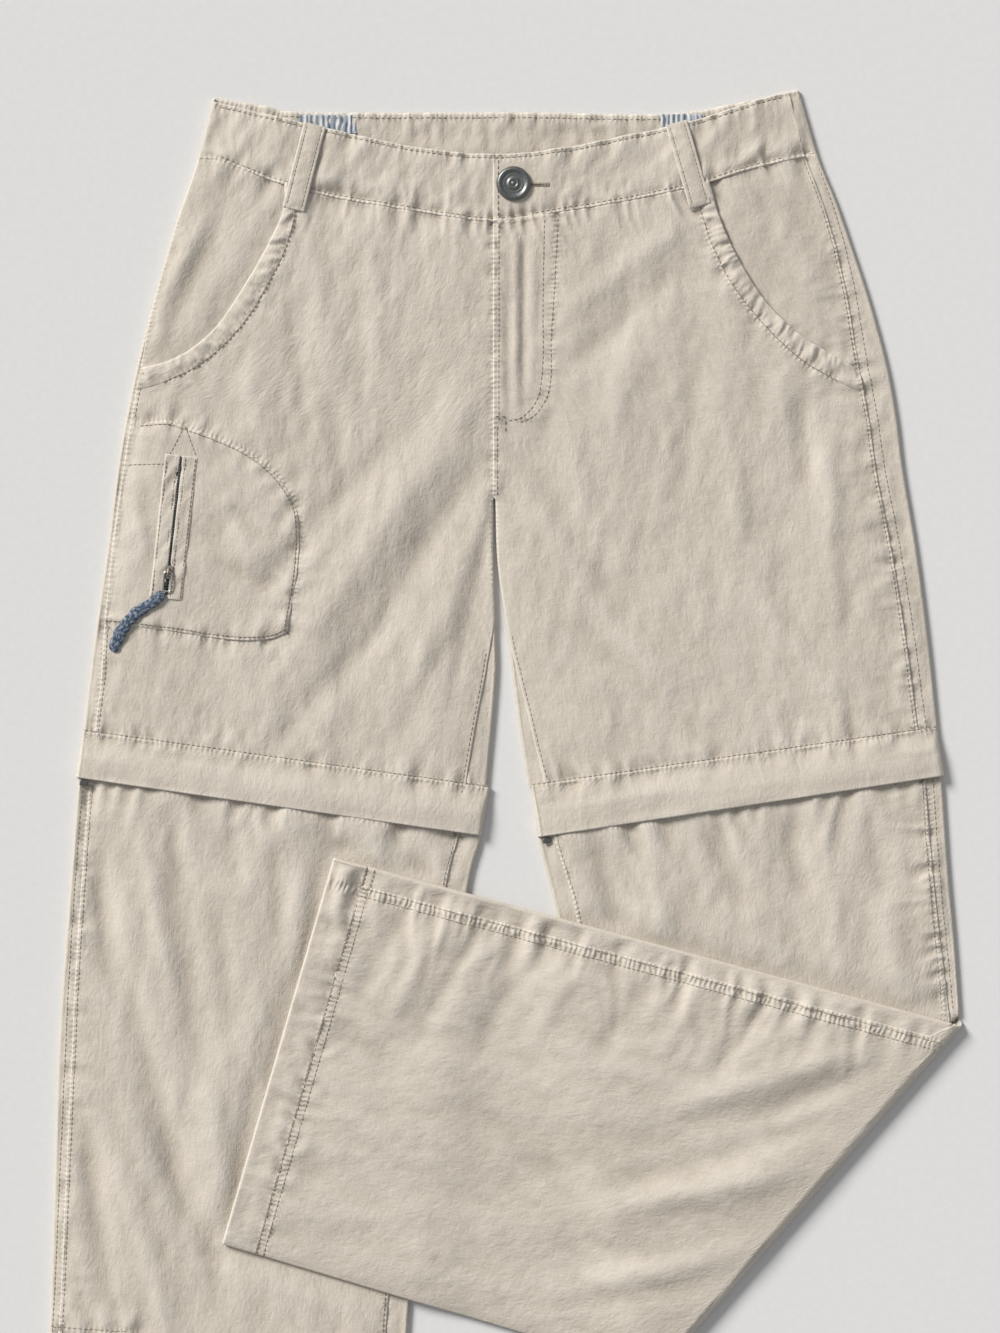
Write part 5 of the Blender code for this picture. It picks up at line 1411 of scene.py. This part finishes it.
def on_fly(xy):
    """Height on the right front with the fly's overlap."""
    return on_shorts(xy) + fly_lift(xy)


stitch_rows("stitching_shorts", [
    (spline(POCKET_STITCH["left"], 12), on_shorts, raised + 0.35),
    (spline(POCKET_STITCH["right"], 12), on_shorts, raised + 0.35),
    (beside(right_side, 5.5), on_shorts, -0.15), (beside(right_side, -1.6), on_shorts, raised),
    (between_heights(beside(left_side, 1.6), 80, 176), on_shorts, raised),
    (between_heights(beside(left_side, 1.6), 300, 331), on_shorts, raised),
    (beside(left_in, -1.5), on_shorts, raised), (beside(right_in, 1.5), on_shorts, raised),
    (spline(FLY_OUTER, 12), on_fly, raised), (spline(FLY_INNER, 12), on_fly, raised),
    (fly_line, on_fly, raised), (centre_low, on_fly, raised),
    (np.array([(-1.5, 301.5), (6.5, 301.5)]), on_fly, raised + 0.2),
    (np.array([(5.5, 300), (5.5, 292)]), on_fly, raised + 0.2),
    (beside(spline(FLAP_TOP["left"], 30), 1.6), on_shorts, raised),
    (beside(spline(FLAP_TOP["right"], 30), 1.6), on_shorts, raised)])


def welt_row(offset):
    """A plan line along the pocket zip, moved across it."""
    run, across = zip_frame()
    return np.array(ZIP_TOP, float) + across * offset + run * np.linspace(1, zip_length() - 1, 20)[:, None]


stitch_rows("stitching_thigh_pocket", [
    (beside(spline(CARGO_TOP + CARGO_FRONT[1:], 10), -2.2), cargo_height, 0.0),
    (beside(spline(CARGO_FOOT, 10), 2.2), cargo_height, 0.0),
    (np.array([(-224, 272.5), (-198, 273)]), cargo_height, 0.1),
    (welt_row(-ZIP_GAP / 2 - WELT_WIDTH + 1.3), cargo_height, 0.95),
    (welt_row(-ZIP_GAP / 2 - 1.3), cargo_height, 0.95),
    (welt_row(ZIP_GAP / 2 + WELT_WIDTH - 1.3), cargo_height, 0.95),
    (welt_row(ZIP_GAP / 2 + 1.3), cargo_height, 0.95),
    (np.array([(-196, 278), (-186.5, 296)]), cargo_height, 0.1),
    (np.array([(-180, 278), (-186.5, 296)]), cargo_height, 0.1)], pitch=2.7)


def before_fold(line):
    """The stretch of a straight plan line that lies on the folded leg."""
    dense = line[0] + (line[1] - line[0]) * np.linspace(0, 1, 300)[:, None]
    return dense[(beyond_fold(dense) < 0.01) & (distance(dense, FOLD_LINE) > 2.5)]


turned_felled = [(before_fold(turned_line(FELLED_INSET + k)), on_turned, raised)
                 for k in (1.2, 6.0)]
hem_twin = [(before_fold(hem_line(k)), on_turned, raised) for k in (20.8, 25.2)]
stitch_rows("stitching_folded_leg", turned_felled + hem_twin, pitch=2.8)
low_side = side_seam(LEFT_OUTLINE, LEFT_SEAM, 1, LOW_Y)
low_in = side_seam(LEFT_INNER, LEFT_INSEAM, -1, LOW_Y)
low_right = side_seam(RIGHT_OUTLINE, RIGHT_SEAM, -1, np.linspace(84, -55, 60))
low_right_in = side_seam(RIGHT_INNER, RIGHT_INSEAM, 1, np.linspace(48, -20, 40))
stitch_rows("stitching_lower_legs", [
    (beside(low_side, 1.5), on_lower, raised), (beside(low_side, -4.6), on_lower, -0.15),
    (beside(low_in, -1.5), on_lower, raised), (beside(low_right, 5.2), on_lower, -0.15),
    (beside(low_right, -1.5), on_lower, raised), (beside(low_right_in, 1.5), on_lower, raised),
    (np.array([(-268, -244.5), (-222, -247.5)]), on_lower, raised),
    (np.array([(x, LEFT_HEM_Y + HEM_HEIGHT + 1.2) for x in (-270, -62)]), on_lower, raised)])


def on_band(xy):
    """Height on the front waistband."""
    overlap = smooth((OVERLAP_WIDTH - xy[..., 0]) / OVERLAP_WIDTH) * (xy[..., 0] > CENTRE_X)
    return band_height(xy, BAND_LIFT + OVERLAP_RISE * overlap, BAND_SEED)


def loop_rows(half):
    """The two stitched edges of a belt loop."""
    a, b = (np.array(p, float) for p in LOOPS[half])
    middle = a + (b - a) * np.linspace(0.03, 0.95, 30)[:, None]
    return [(beside(middle, k * LOOP_WIDTH), loop_height(half), 0.12) for k in (-0.33, 0.33)]


stitch_rows("stitching_belt_loops", loop_rows("left") + loop_rows("right"), pitch=2.6)
HOLE_Y = 440.4        # the buttonhole is level with the button
hole_x = np.arange(21.5, 32.5, 0.85)
hole = np.stack([hole_x, np.full(len(hole_x), HOLE_Y)], -1)
spindles("buttonhole", lay(hole, on_band(hole) + 0.2), np.tile([0.0, 1.0, 0.0], (len(hole), 1)),
         np.full(len(hole), 2.7), 0.36, THREAD)
slit = np.array([[26.0, HOLE_Y]])
spindles("buttonhole_slit", lay(slit, on_band(slit) + 0.42), np.array([[1.0, 0.0, 0.0]]),
         np.array([10.5]), 0.3, thread_material("slit_shadow", (0.12, 0.10, 0.08)))
band_x = np.linspace(-166, 172, 200)
back_x = np.linspace(-128, 124, 160)
back_top = spline(BAND_TOP_BACK, 6)
stitch_rows("stitching_waistband", [
    (np.stack([band_x, band_top(band_x) - TOP_STITCH], -1), on_band, 0.25),
    (np.stack([band_x, band_low(band_x) + 1.6], -1), on_band, 0.25),
    (np.stack([back_x, np.interp(back_x, back_top[:, 0], back_top[:, 1]) - TOP_STITCH], -1),
     lambda xy: back_rise(xy[..., 0], np.full(len(xy), TOP_STITCH)), 1.35),
    (np.array([(1.2, 456), (1.2, 421)]), on_band, 0.3)], pitch=3.4)

# %% [markdown]
# ## Button, elastic and zip
# The button is turned metal, so its form is a profile carried round an axis. The elastic is a gathered
# strip, and the zip pull's tab is a short woven cord.

# %% Metal and small parts


def metal_material(name, colour, roughness, pale_tone):
    """Satin metal with fine wear: a noise mask mixes a paler colour in and changes the gloss."""
    mat, tree, shader = new_material(name)
    shader.inputs["Metallic"].default_value = 0.8
    place = tree.nodes.new("ShaderNodeTexCoord")
    wear = add_node(tree, "ShaderNodeTexNoise", {"Scale": 700.0, "Detail": 4.0})
    tree.links.new(place.outputs["Object"], wear.inputs["Vector"])
    tint = mix_colour(tree, wear.outputs["Fac"], (*colour, 1), (*pale_tone, 1))
    tree.links.new(tint, shader.inputs["Base Color"])
    rough = added(tree, scaled(tree, wear.outputs["Fac"], 0.25), roughness - 0.12)
    tree.links.new(rough, shader.inputs["Roughness"])
    bump_into(tree, shader, wear.outputs["Fac"], 0.25, 0.0002)
    return mat


GUN_METAL = metal_material("button_gun_metal", (0.12, 0.125, 0.12), 0.42, (0.25, 0.255, 0.25))
DARK_METAL = metal_material("zip_dark_metal", (0.10, 0.10, 0.10), 0.4, (0.22, 0.22, 0.22))


def turned_button():
    """Waist button: a radius and height profile turned round the upright axis."""
    profile = np.array([
        (0.0, 3.5), (0.8, 3.5), (1.2, 3.2), (1.6, 2.7), (2.0, 3.3), (2.9, 3.5), (3.5, 3.1), (4.2, 2.75),
        (5.0, 2.7), (5.4, 2.95), (5.8, 2.75), (6.8, 2.85), (7.4, 3.3), (8.2, 3.75), (9.0, 3.7), (9.8, 3.2),
        (BUTTON_R, 2.4), (BUTTON_R - 0.2, 1.6), (9.2, 1.1), (4.0, 1.0), (4.0, 0.0), (0.0, 0.0)])
    angle = np.linspace(0, 2 * math.pi, 72, endpoint=False)
    grid = np.stack([profile[:, :1] * np.cos(angle), profile[:, :1] * np.sin(angle),
                     np.broadcast_to(profile[:, 1:], (len(profile), len(angle)))], -1)
    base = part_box("waist_button")[0][2] / MM
    grid += np.array([BUTTON_AT[0], BUTTON_AT[1], base])
    mesh = grid_mesh("waist_button_turned", grid, True, False)
    piece = add_object("waist_button_turned", mesh)
    weld = piece.modifiers.new("poles", "WELD")
    weld.merge_threshold = 0.00001
    mesh.materials.append(GUN_METAL)
    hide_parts("waist_button")
    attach(piece, "garment")


turned_button()
SAND_METAL = metal_material("zip_sand_enamel", (0.30, 0.265, 0.215), 0.5, (0.42, 0.38, 0.32))
WIRE_METAL = metal_material("pull_pale_wire", (0.42, 0.41, 0.39), 0.35, (0.62, 0.61, 0.59))


def refinish(node_name, look):
    """Give a solid that keeps its shape a new material."""
    for material_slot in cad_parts[node_name].material_slots:
        material_slot.material = look


for node_name, look in (("zip_slider", SAND_METAL), ("knee_slider_left", DARK_METAL),
                        ("knee_slider_right", DARK_METAL), ("pull_loop", WIRE_METAL)):
    refinish(node_name, look)


def two_coloured(name, scale, detail, *stops):
    """Yarn-dyed material: stretched noise picks between two colours, given as places and colours."""
    mat, tree, shader = new_material(name)
    fleck = stretched_noise(tree, tree.nodes.new("ShaderNodeUVMap").outputs[0], scale, detail)
    ramp = add_node(tree, "ShaderNodeValToRGB")
    for element, (position, colour) in zip(ramp.color_ramp.elements, stops):
        element.position = position
        element.color = (*colour, 1)
    tree.links.new(fleck, ramp.inputs[0])
    tree.links.new(ramp.outputs[0], shader.inputs["Base Color"])
    shader.inputs["Roughness"].default_value = 0.85
    return mat, tree, shader, fleck


ELASTIC = two_coloured("gathered_elastic", (260, 60, 1), 2.0,
                       (0.42, (0.27, 0.32, 0.39)), (0.58, (0.62, 0.63, 0.63)))[0]
for half, (x0, x1, y0, y1) in ELASTICS.items():
    x, y = np.meshgrid(np.linspace(x0, x1, 90), np.linspace(y1, y0, 14))
    plan = np.stack([x, y], -1)
    z = 3.0 + 0.55 * np.sin(2 * math.pi * x / 3.4 + 1.5 * noise(x / 5, y / 6, 73))
    z += 0.3 * noise(x / 2, y / 3, 74)
    cloth_piece(f"elastic_{half}", lay(plan, z), [f"elastic_{half}"], look=ELASTIC,
                wall=0.5)

# %% Zip teeth and tapes


# The tape is coloured near black so that the slit between the pocket welts shows dark: painted shade in the
# slit.
TAPE = cloth_material("zip_tape_dark", (0.045, 0.042, 0.038), (0.10, 0.095, 0.09), (0.02, 0.02, 0.018))


def zip_row(name, line, height, half_width, node_name):
    """A zip: two strips of tape as one grid, and its teeth as spindles across the middle."""
    run = run_of(line)
    side = beside(line, 1.0) - line
    u = np.linspace(-half_width, half_width, 7)
    plan = line[:, None] + side[:, None] * u[None, :, None]
    cloth_piece(f"{name}_tape", lay(plan, height(plan)), [node_name], look=TAPE,
                flip=True, wall=0.4)
    count = int(run[-1] / 1.6)
    at = (np.arange(count) + 0.5) * run[-1] / count
    centre = np.stack([np.interp(at, run, line[:, k]) for k in (0, 1)], -1)
    across = np.stack([np.interp(at, run, side[:, k]) for k in (0, 1)], -1)
    centre = lay(centre, height(centre) + 0.3)
    direction = lay(unit(across), 0.0)
    spindles(f"{name}_teeth", centre, direction, np.full(count, 2.0), 0.42, DARK_METAL)


zip_line = np.array(ZIP_TOP, float) + zip_frame()[0] * np.linspace(1, 84, 60)[:, None]
zip_row("thigh_zip", zip_line, lambda xy: cargo_height(xy) - 0.1, ZIP_GAP / 2 + 0.6, "zip_tape")
for node_name in ("knee_zip_left", "knee_zip_right"):
    refinish(node_name, TAPE)

# %% Zip pull tab


def webbing_material():
    """Blue woven cord with pale flecks that stand out a little."""
    mat, tree, shader, fleck = two_coloured("blue_flecked_cord", (700, 420, 1), 3.0,
                                            (0.46, (0.040, 0.066, 0.112)), (0.64, (0.32, 0.36, 0.42)))
    bump_into(tree, shader, fleck, 0.8, 0.0004)
    return mat


TAB_PATH = [(-199.3, 196.2), (-203.5, 191.5), (-209.5, 187.5), (-215.5, 183.5), (-220.5, 178.5),
            (-224.5, 173), (-227.5, 167), (-230, 160.5)]


def pull_tab():
    """The tab: an uneven oval section carried along its path, closed at both ends."""
    high = np.array(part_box("pull_tab")[1]) / MM
    path = along(TAB_PATH, np.linspace(0, 1, 70))
    s = np.linspace(0, 1, 70)
    fall = smooth(s * 2.6)
    laid = on_shorts(path) + CARGO_LIFT * smooth((path[:, 1] - 168) / 10) + 2.0
    z = (high[2] - 1.0) * (1 - fall) + laid * fall
    side = beside(path, 1.0) - path
    angle = np.linspace(0, 2 * math.pi, 20, endpoint=False)
    ends = np.sqrt(np.clip(1 - (2 * s - 1) ** 16, 0.02, 1))
    thick = ends * (1 + 0.05 * np.sin(60 * s) + 0.07 * np.sin(17 * s + 1))
    wide = (3.1 + 0.6 * s)[:, None] * thick[:, None] * np.cos(angle)
    wide *= 1 + 0.06 * np.sin(3 * angle + 40 * s[:, None])
    tall = 1.1 * thick[:, None] * np.sin(angle)
    xy = path[:, None] + side[:, None] * wide[..., None]
    grid = lay(xy, z[:, None] + tall)
    mesh = grid_mesh("pull_tab_cord", grid, True, False)
    piece = add_object("pull_tab_cord", mesh)
    mesh.materials.append(webbing_material())
    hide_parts("pull_tab")
    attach(piece, "cargo_pull")


pull_tab()
print("pieces of cloth:", len(MADE), "quads:", sum(count for _, count in MADE))

# %% [markdown]
# ## Floor, light and camera
# A plain pale floor takes the soft shadow. One distant soft lamp stands high at the upper left, and the
# world fills the shadows. The camera looks straight down.

# %% Floor
FLOOR_SIZE = 16.0


def pale_floor():
    """A wide level plane with a very faint grain."""
    half = FLOOR_SIZE / 2
    mesh = bpy.data.meshes.new("floor")
    corners = [(-half, -half, 0), (half, -half, 0), (half, half, 0), (-half, half, 0)]
    mesh.from_pydata(corners, [], [(0, 1, 2, 3)])
    floor = add_object("floor", mesh)
    mat, tree, shader = new_material("pale_floor")
    place = tree.nodes.new("ShaderNodeTexCoord")
    grain = add_node(tree, "ShaderNodeTexNoise", {"Scale": 260.0, "Detail": 3.0})
    tree.links.new(place.outputs["Object"], grain.inputs["Vector"])
    tree.links.new(mix_colour(tree, grain.outputs["Fac"], (0.745, 0.735, 0.72, 1), (0.805, 0.795, 0.785, 1)),
                   shader.inputs["Base Color"])
    shader.inputs["Roughness"].default_value = 0.9
    shader.inputs["Specular IOR Level"].default_value = 0.2
    mesh.materials.append(mat)


pale_floor()

# %% Light and camera
CAMERA_X, CAMERA_Y = 0.0024, 0.1515
VIEW_HEIGHT = 0.7998  # metres of floor that the frame shows from top to bottom
CLOTH_LEVEL = 0.006   # height of the laid cloth, on which the frame is measured
KEY_AT = (-8.6, 7.4, 7.0)
KEY_ANGLE = 20.5      # degrees
KEY_POWER = 3.7
FILL_STRENGTH = 0.33
LENS = 85.0
SENSOR = 36.0


def soft_lamp(name, place, target, angle, power, colour):
    """A distant soft lamp turned towards a point; the angle is how wide it looks from there."""
    data = bpy.data.lights.new(name, "SUN")
    data.angle = math.radians(angle)
    data.energy = power
    data.color = colour
    lamp = add_object(name, data)
    lamp.location = place
    lamp.rotation_euler = (Vector(target) - Vector(place)).to_track_quat("-Z", "Y").to_euler()


soft_lamp("key", KEY_AT, (0, 0.1, 0), KEY_ANGLE, KEY_POWER, (1.0, 0.985, 0.96))
world = bpy.data.worlds.new("studio")
bpy.context.scene.world = world
world.use_nodes = True
world.node_tree.nodes["Background"].inputs[0].default_value = (0.94, 0.965, 1.0, 1)
world.node_tree.nodes["Background"].inputs[1].default_value = FILL_STRENGTH
bpy.context.scene.view_settings.view_transform = "Standard"

camera_data = bpy.data.cameras.new("camera")
camera_data.lens = LENS
camera_data.sensor_width = SENSOR
camera_data.sensor_fit = "AUTO"
camera = add_object("camera", camera_data)
camera.location = (CAMERA_X, CAMERA_Y, VIEW_HEIGHT * LENS / SENSOR + CLOTH_LEVEL)
bpy.context.scene.camera = camera
print("camera height:", round(camera.location[2], 3))
